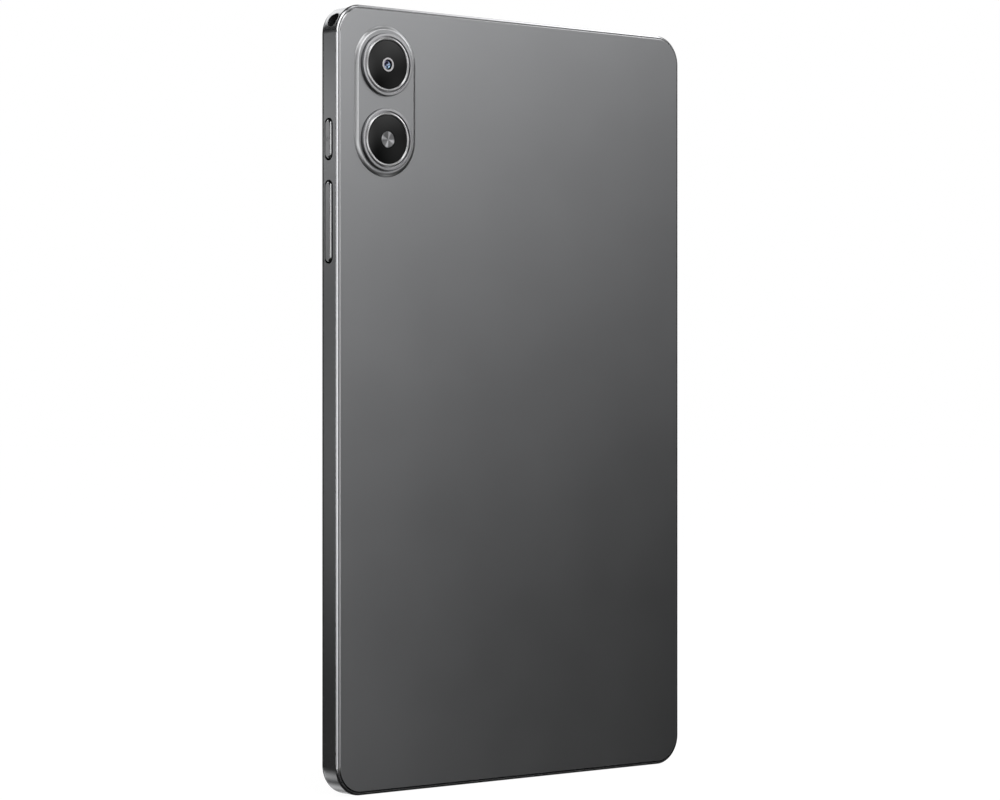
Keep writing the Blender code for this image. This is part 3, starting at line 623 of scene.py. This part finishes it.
def frame_profile():
    """(inset, depth) from the rear rim over the chamfer and the wall to the lip at the glass."""
    wall_start = REAR_RIM_DEPTH + REAR_CHAMFER
    wall_end = BODY_T - FRONT_ROUND_R
    profile = [
        (REAR_CHAMFER + SOFT_EDGE, REAR_RIM_DEPTH),
        (REAR_CHAMFER - SOFT_EDGE, REAR_RIM_DEPTH + SOFT_EDGE),
        (SOFT_EDGE, wall_start - SOFT_EDGE),
        (0.0, wall_start + SOFT_EDGE),
        (0.0, wall_end - 0.5),
    ]
    lip_angle = math.acos(1 - FRONT_LIP_INSET / FRONT_ROUND_R)
    steps = 12
    for step in range(steps + 1):
        angle = lip_angle * step / steps
        inset = FRONT_ROUND_R * (1 - math.cos(angle))
        profile.append((inset, wall_end + FRONT_ROUND_R * math.sin(angle)))
    return profile


def flared_slot(width, length, depth, flare=0.03):
    """A pill-shaped slot through a wall along X, from outside inwards, that opens out at the surface."""
    mouth = pill(width + 2 * flare, length + 2 * flare)
    throat = pill(width, length)
    return loft([(mouth, OVERSHOOT), (mouth, 0.0), (throat, -flare), (throat, -depth)], "X")


def build_frame():
    """The metal frame: rounded front edge, polished rear chamfer, and its bays, slots and holes."""
    sections = [(body_outline(inset), BACK - depth) for inset, depth in frame_profile()]
    shell = plain_object("frame_shell", loft(sections, bright=(1,)), (WALL_METAL, POLISHED), MIDDLE)
    bays = (
        (RIM_INSET, -OVERSHOOT, COVER_SEAT),
        (BAY_INSET, 0.0, MIDPLATE[0]),
        (DISPLAY_BAY_INSET, MIDPLATE[1], BODY_T),
        (GLASS_SEAT_INSET, GLASS_SEAT, BODY_T + OVERSHOOT),
    )
    for inset, start, end in bays:
        combine(shell, prism(body_outline(inset), BACK - start, BACK - end), MIDDLE)
    for x, z in MIDPLATE_SLOTS:
        combine(shell, prism(rectangle(x, z), BACK - MIDPLATE[0] + 0.5, BACK - MIDPLATE[1] - 0.5))
    cut_side_openings(shell)
    cut_end_openings(shell)
    settle(shell, "body", ["mid_frame"])


def cut_side_openings(shell):
    """The key slots and their pocket, the headphone opening in the corner and the tray's slot."""
    bracket_low, bracket_high = box_mm("side_key_bracket")
    pocket_y = [BACK - depth for depth in KEY_POCKET_DEPTH]
    pocket = rectangle(pocket_y, (bracket_low.z - 1, bracket_high.z + 1))
    combine(shell, prism(pocket, BODY_W / 2 - KEY_POCKET_INSET, BODY_W / 2 - KEY_WALL, "X"))
    for node, _, _, length in key_places():
        middle = middle_of(node)
        slot = flared_slot(KEY_WIDTH + 2 * KEY_GAP, length + 2 * KEY_GAP, KEY_WALL + 1)
        combine(shell, slot, (BODY_W / 2, middle.y, middle.z))
    mouth = prism(circle(JACK_MOUTH_R + JACK_LIP, 48), -JACK_START - 1, OVERSHOOT, "X")
    combine(shell, mouth, jack_mouth(), JACK_ANGLE)
    socket = rectangle((-JACK_ROOM_T, JACK_ROOM_T), (-JACK_ROOM_W, JACK_ROOM_W))
    combine(shell, prism(socket, -JACK_END, JACK_ROOM - JACK_START, "X"), jack_mouth(), JACK_ANGLE)
    tray = middle_of("card_reader")
    mouth = pill(TRAY_WIDTH + 2 * TRAY_GAP, TRAY_LENGTH + 2 * TRAY_GAP)
    combine(shell, prism(mouth, -OVERSHOOT, BAY_INSET + 1, "X"), (-BODY_W / 2, tray.y, tray.z))


def cut_end_openings(shell):
    """The USB-C mouth, the loudspeakers' and both microphones' holes."""
    usb = middle_of("usb_c_shell")
    mouth = lying(pill(USB_T + 2 * USB_GAP, USB_W + 2 * USB_GAP))
    combine(shell, prism(mouth, -OVERSHOOT, USB_LENGTH + 1, "Z"), (0.0, usb.y, 0.0))
    holes = []
    for node in ("speaker_left", "speaker_right"):
        middle = middle_of(node).x
        for index in range(SPEAKER_HOLES):
            x = middle + (index - (SPEAKER_HOLES - 1) / 2) * SPEAKER_HOLE_PITCH
            holes.append(circle(SPEAKER_HOLE_R, 24, (x, BACK - PORT_DEPTH)))
    holes.append(circle(MIC_HOLE_R, 20, (middle_of("microphone_bottom").x, BACK - PORT_DEPTH)))
    combine(shell, prisms(holes, -OVERSHOOT, BAY_INSET + 0.5, "Z"))
    top_hole = circle(MIC_HOLE_R, 20, (middle_of("microphone_top").x, BACK - PORT_DEPTH))
    combine(shell, prism(top_hole, BODY_H - BAY_INSET - 0.5, BODY_H + OVERSHOOT, "Z"))


def build_back():
    """The thin back shell with a fine chamfer, its snap tabs and the island's seat."""
    inset = COVER_INSET
    sections = [
        (body_outline(inset + REAR_RIM_DEPTH + SOFT_EDGE), BACK),
        (body_outline(inset + REAR_RIM_DEPTH - SOFT_EDGE / 2), BACK - SOFT_EDGE / 2),
        (body_outline(inset), BACK - REAR_RIM_DEPTH),
        (body_outline(inset), BACK - COVER_T),
    ]
    cover = plain_object("back_shell", loft(sections, bright=(1,)), (ANODISED, COVER_EDGE), MIDDLE)
    tabs = []
    for side in (-1, 1):
        for z in TAB_PLACES:
            span = sorted((side * TAB_SIDE, side * (TAB_SIDE - TAB_T)))
            tabs.append(rectangle(span, (z - TAB_LENGTH / 2, z + TAB_LENGTH / 2)))
    combine(cover, prisms(tabs, BACK - COVER_T / 2, BACK - TAB_END, "Y"), operation="UNION")
    chamfer, floor = 0.03, -0.4
    seat = []
    for grow, height in ((chamfer, OVERSHOOT), (chamfer, 0.0), (0.0, -chamfer), (0.0, floor)):
        seam = 2 * (ISLAND_SEAM + grow)
        seat.append((pill(ISLAND_W + seam, ISLAND_H + seam, ISLAND_STEPS), height))
    combine(cover, loft(seat), (island.x, BACK, island.z))
    for axis, radius in WINDOW_HOLES:
        combine(cover, prism(circle(radius, 48), OVERSHOOT, -OVERSHOOT), (axis.x, BACK, axis.z))
    settle(cover, "body", ["rear_cover"])


def build_island():
    """The raised plate under both windows, with a soft pillowed edge and a seat for each ring."""
    steps, easing, foot, seat = 14, 1.6, -0.33, 0.25
    sections = [(pill(ISLAND_W, ISLAND_H, ISLAND_STEPS), foot)]
    for step in range(steps + 1):
        inset = ISLAND_EDGE * step / steps
        rise = ISLAND_PROUD * (1 - (1 - step / steps) ** easing)
        sections.append((pill(ISLAND_W - 2 * inset, ISLAND_H - 2 * inset, ISLAND_STEPS), rise))
    mesh = loft(sections, bright=range(1, steps + 1))
    deck = plain_object("island_plate", mesh, (ANODISED, ISLAND_RIM), (island.x, BACK, island.z))
    for axis, radius in WINDOW_HOLES:
        combine(deck, prism(circle(radius, 48), OVERSHOOT, -OVERSHOOT), (axis.x, BACK, axis.z))
        combine(deck, prism(circle(LENS_SEAT_R, ROUND_STEPS), OVERSHOOT, seat), (axis.x, BACK, axis.z))
    settle(deck, "body", ["camera_deck"])


# ---------------------------------------------------------------- windows, lens and flash

def ring_profile():
    """(radius, height) round the section of a lens ring, and which of its bands are the bright bezel."""
    shoulder, flat, crest, crest_r = 0.20, 1.42, 1.50, 6.93
    groove_outer, groove_inner, groove_floor = 7.66, 7.42, 0.95
    inner = LENS_GLASS_R + 0.04
    foot, ledge, ledge_r = 0.30, 0.65, 5.6
    wall = [(LENS_RING_R, foot)]
    for inset, rise in quarter_round(shoulder, shoulder):
        wall.append((LENS_RING_R - inset, flat - shoulder + rise))
    wall += [(groove_outer + 0.03, flat), (groove_outer, flat - 0.03), (groove_outer, groove_floor)]
    bezel = [
        (groove_inner, groove_floor), (groove_inner, flat - 0.12), (groove_inner - 0.03, flat - 0.09),
        (crest_r + 0.08, crest - 0.01), (crest_r, crest), (crest_r - 0.06, crest - 0.02),
        (inner + 0.03, crest - 0.18), (inner, crest - 0.22),
    ]
    seat = [(inner, ledge), (ledge_r, ledge), (ledge_r, foot)]
    return wall + bezel + seat, range(len(wall), len(wall) + len(bezel) - 1)


def window_profile(hole):
    """(radius, height) round the section of a domed window with a hole in its middle."""
    foot, rise, edge, steps = 0.75, 0.28, 0.04, 20
    profile = [(LENS_GLASS_R, foot), (LENS_GLASS_R, GLASS_EDGE - edge)]
    for step in range(steps + 1):
        radius = LENS_GLASS_R - edge + (hole - LENS_GLASS_R + edge) * step / steps
        profile.append((radius, GLASS_EDGE + rise * (1 - (radius / LENS_GLASS_R) ** 2)))
    profile.append((hole, foot))
    return profile


def build_windows():
    """Turned metal rings and the domed black windows inside them."""
    section, bezel = ring_profile()
    for name, node, axis in (
        ("camera_ring", "upper_lens_ring", camera),
        ("flash_ring", "lower_lens_ring", flash),
    ):
        looks = (RING_METAL, RING_BEVEL)
        made = plain_object(name, turned_ring(section, bezel), looks, (axis.x, BACK, axis.z))
        settle(made, "body", [node], 28.0)
    for name, node, axis, hole in (
        ("camera_glass", "camera_window", camera, LENS_BEZEL_R + 0.01),
        ("flash_glass", "flash_window", flash, FLASH_R + 0.1),
    ):
        made = plain_object(name, turned_ring(window_profile(hole)), (GLASS,), (axis.x, BACK, axis.z))
        settle(made, "body", [node])


def build_lens():
    """The bright bezel round the camera's opening, and the focusing barrel behind it with its lens."""
    place = (camera.x, BACK, camera.z)
    top, lip, foot, foot_r = 1.44, 0.05, 0.72, 1.62
    bezel = [
        (LENS_BEZEL_R, foot), (LENS_BEZEL_R, top - lip), (LENS_BEZEL_R - lip, top),
        (LENS_OPENING_R + lip, top), (LENS_OPENING_R, top - lip), (LENS_OPENING_R, top - 0.25),
        (foot_r, foot),
    ]
    made = plain_object("camera_bezel", turned_ring(bezel, steps=64), (BEZEL_METAL,), place)
    settle(made, "body", ["camera_inner_bezel"])

    bore, barrel_r, neck_r, foot, shoulder = 1.36, 3.0, 2.35, -2.1, -0.35
    barrel = [
        (barrel_r, foot), (barrel_r, shoulder), (neck_r, shoulder), (neck_r, -0.05), (1.60, 0.10),
        (1.45, 0.40), (1.40, 0.42), (bore, 0.36), (bore, foot),
    ]
    made = plain_object("lens_barrel", turned_ring(barrel, steps=64), (PLASTIC,), place)
    settle(made, "focus_lens", ["camera_lens_barrel"])
    build_front_element(place)


def build_front_element(place):
    """The front lens, whose middle is dished inside a round ridge."""
    radius, ridge, foot, rim, crest, dish = 1.32, 1.0, -0.8, 0.50, 0.98, 0.66
    steps = 12
    section = [(radius, foot)]
    for step in range(steps):
        share = 1 - step / steps
        section.append((ridge + (radius - ridge) * share, crest - (crest - rim) * share ** 2))
    for step in range(steps + 1):
        share = 1 - step / steps
        section.append((ridge * share, dish + (crest - dish) * (1 - math.cos(math.pi * share)) / 2))
    made = plain_object("front_lens_element", turned_dome(section, 64), (LENS,), place)
    settle(made, "focus_lens")


def build_flash():
    """The flash's lens, a moulded disc with fine rings and a small dip in the middle."""
    foot, top, rim, ridges, dip = -0.3, 1.40, 0.08, 7, 0.03
    disc = [(FLASH_R, foot), (FLASH_R, top - rim), (FLASH_R - rim, top)]
    pitch = (FLASH_R - rim) / ridges
    for ridge in range(ridges):
        outer = (FLASH_R - rim) - ridge * pitch
        disc.append((outer - 0.05 * pitch, top - dip))
        disc.append((outer - 0.80 * pitch, top))
    disc.append((0.0, top - dip))
    made = plain_object("flash_disc", turned_dome(disc, 64), (FLASH,), (flash.x, BACK, flash.z))
    settle(made, "body", ["flash_lens"], 60.0)


# ---------------------------------------------------------------- keys

def build_keys():
    """Power and volume keys with a bright bevel, the flange that keeps them in, and their feet."""
    crown = (
        (KEY_BEVEL + SOFT_EDGE, 0.0),
        (KEY_BEVEL - SOFT_EDGE, SOFT_EDGE / 2),
        (SOFT_EDGE / 2, KEY_BEVEL - SOFT_EDGE),
        (0.0, KEY_BEVEL + SOFT_EDGE),
    )
    for node, name, body, length in key_places():
        middle = middle_of(node)
        flange = pill(KEY_WIDTH + KEY_FLANGE_WIDER, length + KEY_FLANGE_LONGER)
        sections = []
        for inset, drop in crown:
            sections.append((pill(KEY_WIDTH - 2 * inset, length - 2 * inset), KEY_PROUD - drop))
        sections += [
            (pill(KEY_WIDTH, length), -KEY_FLANGE_INSET),
            (flange, -KEY_FLANGE_INSET),
            (flange, -KEY_FLANGE_INSET - KEY_FLANGE_T),
        ]
        place = (BODY_W / 2, middle.y, middle.z)
        cap = plain_object(name, loft(sections, "X", bright=(1,)), (KEY_METAL, KEY_EDGE), place)
        foot_low = box_mm(node)[0].x - BODY_W / 2
        kind = node.split("_")[0]
        feet = []
        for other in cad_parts:
            if other.startswith(kind) and other.endswith("_plunger"):
                feet.append(circle(KEY_FOOT_R, 24, (0.0, middle_of(other).z - middle.z)))
        stems = prisms(feet, foot_low, -KEY_FLANGE_INSET - KEY_FLANGE_T / 2, "X")
        combine(cap, stems, place, operation="UNION")
        settle(cap, body, [node])
    build_power_mark()


def build_power_mark():
    """A plain power symbol engraved dark on the power key: an open ring and a bar."""
    radius, stroke, sunk, lift = 0.42, 0.13, -0.05, 0.006
    gap, steps = math.radians(36.0), 32
    middle = middle_of("power_button")
    mesh = bmesh.new()
    arc = []
    turn = [math.pi / 2 + gap + (2 * math.pi - 2 * gap) * step / steps for step in range(steps + 1)]
    for edge in (radius + stroke / 2, radius - stroke / 2):
        ring = [(edge * math.cos(angle), edge * math.sin(angle)) for angle in turn]
        arc += ring if not arc else ring[::-1]
    bar = rectangle((-stroke / 2, stroke / 2), (radius * 0.25, radius * 1.35))
    prism(arc, sunk, lift, "X", mesh)
    prism(bar, sunk, lift, "X", mesh)
    mark = plain_object("power_mark", mesh, (MARK,), (BODY_W / 2 + KEY_PROUD, middle.y, middle.z))
    settle(mark, "power_key")


# ---------------------------------------------------------------- ports and card tray

def build_jack_mouth():
    """The headphone opening's thin metal lip, flush with the corner, and the black sleeve inside it."""
    play, edge, lip_end, sleeve_r, sleeve_end = 0.02, 0.05, -0.16, 1.85, -2.2
    outer = JACK_MOUTH_R + JACK_LIP - play
    lip = [
        (outer, 0.0), (JACK_MOUTH_R + edge, 0.0), (JACK_MOUTH_R, -edge), (JACK_MOUTH_R, lip_end),
        (outer, lip_end),
    ]
    sleeve = [
        (outer, lip_end - play), (JACK_MOUTH_R - play, lip_end + edge), (sleeve_r, sleeve_end),
        (outer, sleeve_end),
    ]
    for name, profile, look, slot in (
        ("headphone_lip", lip, COVER_EDGE, "bright_metal"),
        ("headphone_sleeve", sleeve, PLASTIC, "black_plastic"),
    ):
        made = plain_object(name, corner_ring(profile), (look,), jack_mouth())
        made.rotation_euler = (0.0, -JACK_ANGLE, 0.0)
        settle(made, "body")


def build_usb():
    """The USB-C shell with a rolled mouth, and the tongue inside it."""
    place = (0.0, middle_of("usb_c_shell").y, 0.0)
    wall, start, lip = 0.28, 0.15, (0.16, 0.10)
    sections = [
        (lying(pill(USB_T - lip[0], USB_W - lip[0])), start),
        (lying(pill(USB_T, USB_W)), start + lip[1]),
        (lying(pill(USB_T, USB_W)), USB_LENGTH),
    ]
    shell = plain_object("usb_socket_shell", loft(sections, "Z"), (STEEL,), place)
    inner = prism(lying(pill(USB_T - 2 * wall, USB_W - 2 * wall)), -OVERSHOOT, USB_LENGTH - wall, "Z")
    combine(shell, inner, place)
    settle(shell, "body", ["usb_c_shell"])

    thick = rectangle((-TONGUE_W / 2, TONGUE_W / 2), (-TONGUE_T / 2, TONGUE_T / 2))
    thin = rectangle((-3.2, 3.2), (-0.25, 0.25))
    tongue = loft([(thin, 0.9), (thick, 1.1), (thick, USB_LENGTH - 0.4)], "Z")
    made = plain_object("usb_tongue", tongue, (PLASTIC,), place)
    settle(made, "body", ["usb_c_tongue"])
    build_contacts(place)


def build_contacts(place):
    """Gold contacts on both faces of the tongue, sunk a little in it."""
    contacts, pitch, width, sunk, proud, span_z = 12, 0.5, 0.26, 0.01, 0.02, (1.3, 5.5)
    strips = bmesh.new()
    for index in range(contacts):
        x = (index - (contacts - 1) / 2) * pitch
        for side in (-1, 1):
            span = sorted((side * (TONGUE_T / 2 - sunk), side * (TONGUE_T / 2 + proud)))
            prism(rectangle((x - width / 2, x + width / 2), span), *span_z, "Z", strips)
    made = plain_object("usb_contacts", strips, (GOLD,), place)
    settle(made, "body")


def build_tray():
    """The card tray: a face with softened edges and a pinhole, and a plate with two card pockets."""
    tray = middle_of("card_reader")
    place = (-BODY_W / 2, tray.y, tray.z)
    edge, face_t = 0.12, 2.0
    sections = []
    for inset, rise in reversed(quarter_round(edge, edge, 4)):
        sections.append((pill(TRAY_WIDTH - 2 * inset, TRAY_LENGTH - 2 * inset), edge - rise))
    sections.append((pill(TRAY_WIDTH, TRAY_LENGTH), face_t))
    drawer = plain_object("tray_drawer", loft(sections, "X"), (ANODISED,), place)
    plate_t, plate_w = 0.8, 13.8
    plate = rectangle((-plate_t / 2, plate_t / 2), (-plate_w / 2, plate_w / 2))
    plate_end = box_mm("card_tray")[1].x + BODY_W / 2
    combine(drawer, prism(plate, 1.5, plate_end, "X"), place, operation="UNION")
    pockets = [rectangle((4.5, 13.3), (-6.1, 6.1)), rectangle((15.0, 29.5), (-5.5, 5.5))]
    combine(drawer, prisms(pockets, -1.0, 1.0, "Y"), place)
    pinhole_r, pinhole_z = 0.45, middle_of("eject_rod").z - tray.z - 0.2
    combine(drawer, prism(circle(pinhole_r, 24, (0.0, pinhole_z)), -OVERSHOOT, 3.0, "X"), place)
    settle(drawer, "tray", ["card_tray"])


# ---------------------------------------------------------------- front

def build_glass():
    """The cover glass with a rounded edge. Its origin is the tablet's, as its material expects."""
    edge = 0.22
    sections = [(body_outline(GLASS_INSET), BACK - GLASS_BACK)]
    for inset, rise in quarter_round(edge, edge, 6):
        sections.append((body_outline(GLASS_INSET + inset), BACK - BODY_T + edge - rise))
    glass = plain_object("screen_cover_glass", loft(sections), (SCREEN,), MIDDLE)
    settle(glass, "body", ["front_glass"])
    glass.data.transform(glass.matrix_world)
    glass.location = (0.0, 0.0, 0.0)


# ---------------------------------------------------------------- pieces kept from the CAD model

def dress_cad_nodes():
    """Give every CAD node the material of its slot. Those that a finer piece replaces stay unseen."""
    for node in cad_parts.values():
        slot = node.data.materials[0].name.split(".")[0]
        node.data.materials.clear()
        node.data.materials.append(SLOT_LOOKS[slot])


# ---------------------------------------------------------------- studio

WORLD_GLOW = 0.011
LIGHT_DISTANCE = 0.7
# name, azimuth, elevation, width, height, power
SOFTBOXES = (
    ("back_top", -15.0, 30.0, 0.36, 0.36, 2.8),
    ("back_middle", -15.0, 10.0, 0.36, 0.36, 1.45),
    ("back_low", -15.0, -10.0, 0.36, 0.36, 0.9),
    ("back_fill_top", -40.0, 25.0, 0.36, 0.36, 0.8),
    ("back_fill", -40.0, 8.0, 0.36, 0.36, 0.22),
    ("window_glow", -28.0, 18.0, 0.30, 0.30, 0.35),
    ("back_below", -50.0, -36.0, 0.30, 0.30, 0.5),
    ("far_side", -65.0, 30.0, 0.36, 0.36, 2.9),
    ("overhead", -90.0, 50.0, 0.45, 0.45, 1.9),
    ("overhead_middle", -45.0, 68.0, 0.40, 0.40, 1.2),
    ("corner_high", 28.0, 54.0, 0.40, 0.40, 3.0),
    ("island_left", 12.0, 0.0, 0.45, 0.50, 2.6),
    ("island_top", 4.0, 36.0, 0.36, 0.36, 1.2),
    ("edge_strip", 50.0, 0.0, 0.24, 0.80, 1.5),
    ("edge_top", 48.0, 22.0, 0.28, 0.40, 1.3),
    ("edge_corner", 42.0, 38.0, 0.30, 0.30, 1.4),
    ("key_edge", 110.0, 0.0, 0.30, 0.40, 2.6),
    ("wall_top", 140.0, 11.0, 0.30, 0.14, 0.21),
    ("wall", 140.0, -1.0, 0.30, 0.28, 0.12),
    ("corner_side", 160.0, 38.0, 0.40, 0.40, 1.6),
    ("corner_back", 184.0, 42.0, 0.40, 0.40, 1.5),
    ("corner_rim", 207.0, 32.0, 0.40, 0.40, 1.4),
    ("corner_glancing", 219.0, 14.0, 0.36, 0.36, 1.2),
    ("low_corner_side", 155.0, -30.0, 0.36, 0.36, 0.8),
    ("low_corner_back", 182.0, -42.0, 0.40, 0.40, 0.7),
    ("low_corner_rim", 208.0, -30.0, 0.36, 0.36, 0.5),
)
CAMERA_PLACE = (0.5508, 0.6472, BODY_H / 2 * MM)
CAMERA_ANGLE = math.radians(40.265)
CAMERA_LENS = 109.56


def aim(thing, target):
    """Turn a light or camera, which look along their own -Z, towards a target."""
    thing.rotation_mode = "QUATERNION"
    thing.rotation_quaternion = (Vector(target) - thing.location).to_track_quat("-Z", "Y")


def softbox(name, azimuth, elevation, width, height, power):
    """A soft light that looks at the tablet, brightest in its middle and dark at its edges.

    Azimuth 0 is straight behind the back, and 90 is on the side with the keys.
    """
    light = bpy.data.lights.new(name, "AREA")
    light.shape = "RECTANGLE"
    light.size, light.size_y = width, height
    light.energy = power
    light.use_nodes = True
    tree = light.node_tree
    spot = add(tree, "ShaderNodeNewGeometry").outputs["Parametric"]
    centred = vector_maths(tree, "SUBTRACT", spot, (0.5, 0.5, 0.0))
    flat = vector_maths(tree, "MULTIPLY", centred, (1.0, 1.0, 0.0))
    glow = remap(tree, vector_maths(tree, "LENGTH", flat), 0.5, 0.0, curve="SMOOTHSTEP")
    tree.links.new(glow, tree.nodes["Emission"].inputs["Strength"])
    made = bpy.data.objects.new(name, light)
    bpy.context.scene.collection.objects.link(made)
    made.visible_camera = False
    turn, rise = math.radians(azimuth), math.radians(elevation)
    out = Vector((math.sin(turn) * math.cos(rise), math.cos(turn) * math.cos(rise), math.sin(rise)))
    target = Vector((0.0, 0.0, BODY_H / 2 * MM))
    made.location = target + out * LIGHT_DISTANCE
    aim(made, target)


def build_floor():
    """A plain pale floor that only the camera sees, so that the metal doesn't mirror it."""
    mesh = bmesh.new()
    bmesh.ops.create_circle(mesh, cap_ends=True, segments=64, radius=6.0)
    floor = plain_object("studio_floor", mesh)
    floor.location.z = -0.0002
    sockets = {"Specular IOR Level": 0.0, "Emission Color": (1.0, 1.0, 1.0, 1.0)}
    look, tree, shader, place = new_material("floor", (0.12, 0.12, 0.12), 0.9, sockets=sockets)
    glow = remap(tree, vector_maths(tree, "LENGTH", place), 0.1, 0.6, 0.96, 1.0)
    tree.links.new(glow, shader.inputs["Emission Strength"])
    floor.data.materials.append(look)
    floor.visible_glossy = False
    floor.visible_diffuse = False
    floor.visible_shadow = False


def build_world():
    """White for the camera and a quiet grey for everything that the metal mirrors."""
    world = bpy.data.worlds.new("studio")
    bpy.context.scene.world = world
    world.use_nodes = True
    tree = world.node_tree
    tree.nodes.clear()
    white = add(tree, "ShaderNodeBackground", {"Color": (1.0, 1.0, 1.0, 1.0), "Strength": 1.0})
    grey = add(tree, "ShaderNodeBackground", {"Color": (1.0, 1.0, 1.0, 1.0), "Strength": WORLD_GLOW})
    ray = add(tree, "ShaderNodeLightPath").outputs["Is Camera Ray"]
    mixed = add(tree, "ShaderNodeMixShader", {0: ray, 1: grey.outputs[0], 2: white.outputs[0]})
    add(tree, "ShaderNodeOutputWorld", {"Surface": mixed.outputs[0]})


def build_camera():
    """Level with the middle of the tablet, off its back towards the key side."""
    data = bpy.data.cameras.new("camera")
    data.sensor_width = 36.0
    data.lens = CAMERA_LENS
    data.clip_start, data.clip_end = 0.05, 20.0
    made = bpy.data.objects.new("camera", data)
    bpy.context.scene.collection.objects.link(made)
    made.location = CAMERA_PLACE
    aim(made, made.location - Vector((math.sin(CAMERA_ANGLE), math.cos(CAMERA_ANGLE), 0.0)))
    bpy.context.scene.camera = made


dress_cad_nodes()
build_frame()
build_back()
build_island()
build_windows()
build_lens()
build_flash()
build_keys()
build_jack_mouth()
build_usb()
build_tray()
build_glass()

build_world()
build_floor()
for settings in SOFTBOXES:
    softbox(*settings)
build_camera()
bpy.context.scene.view_settings.view_transform = "Standard"
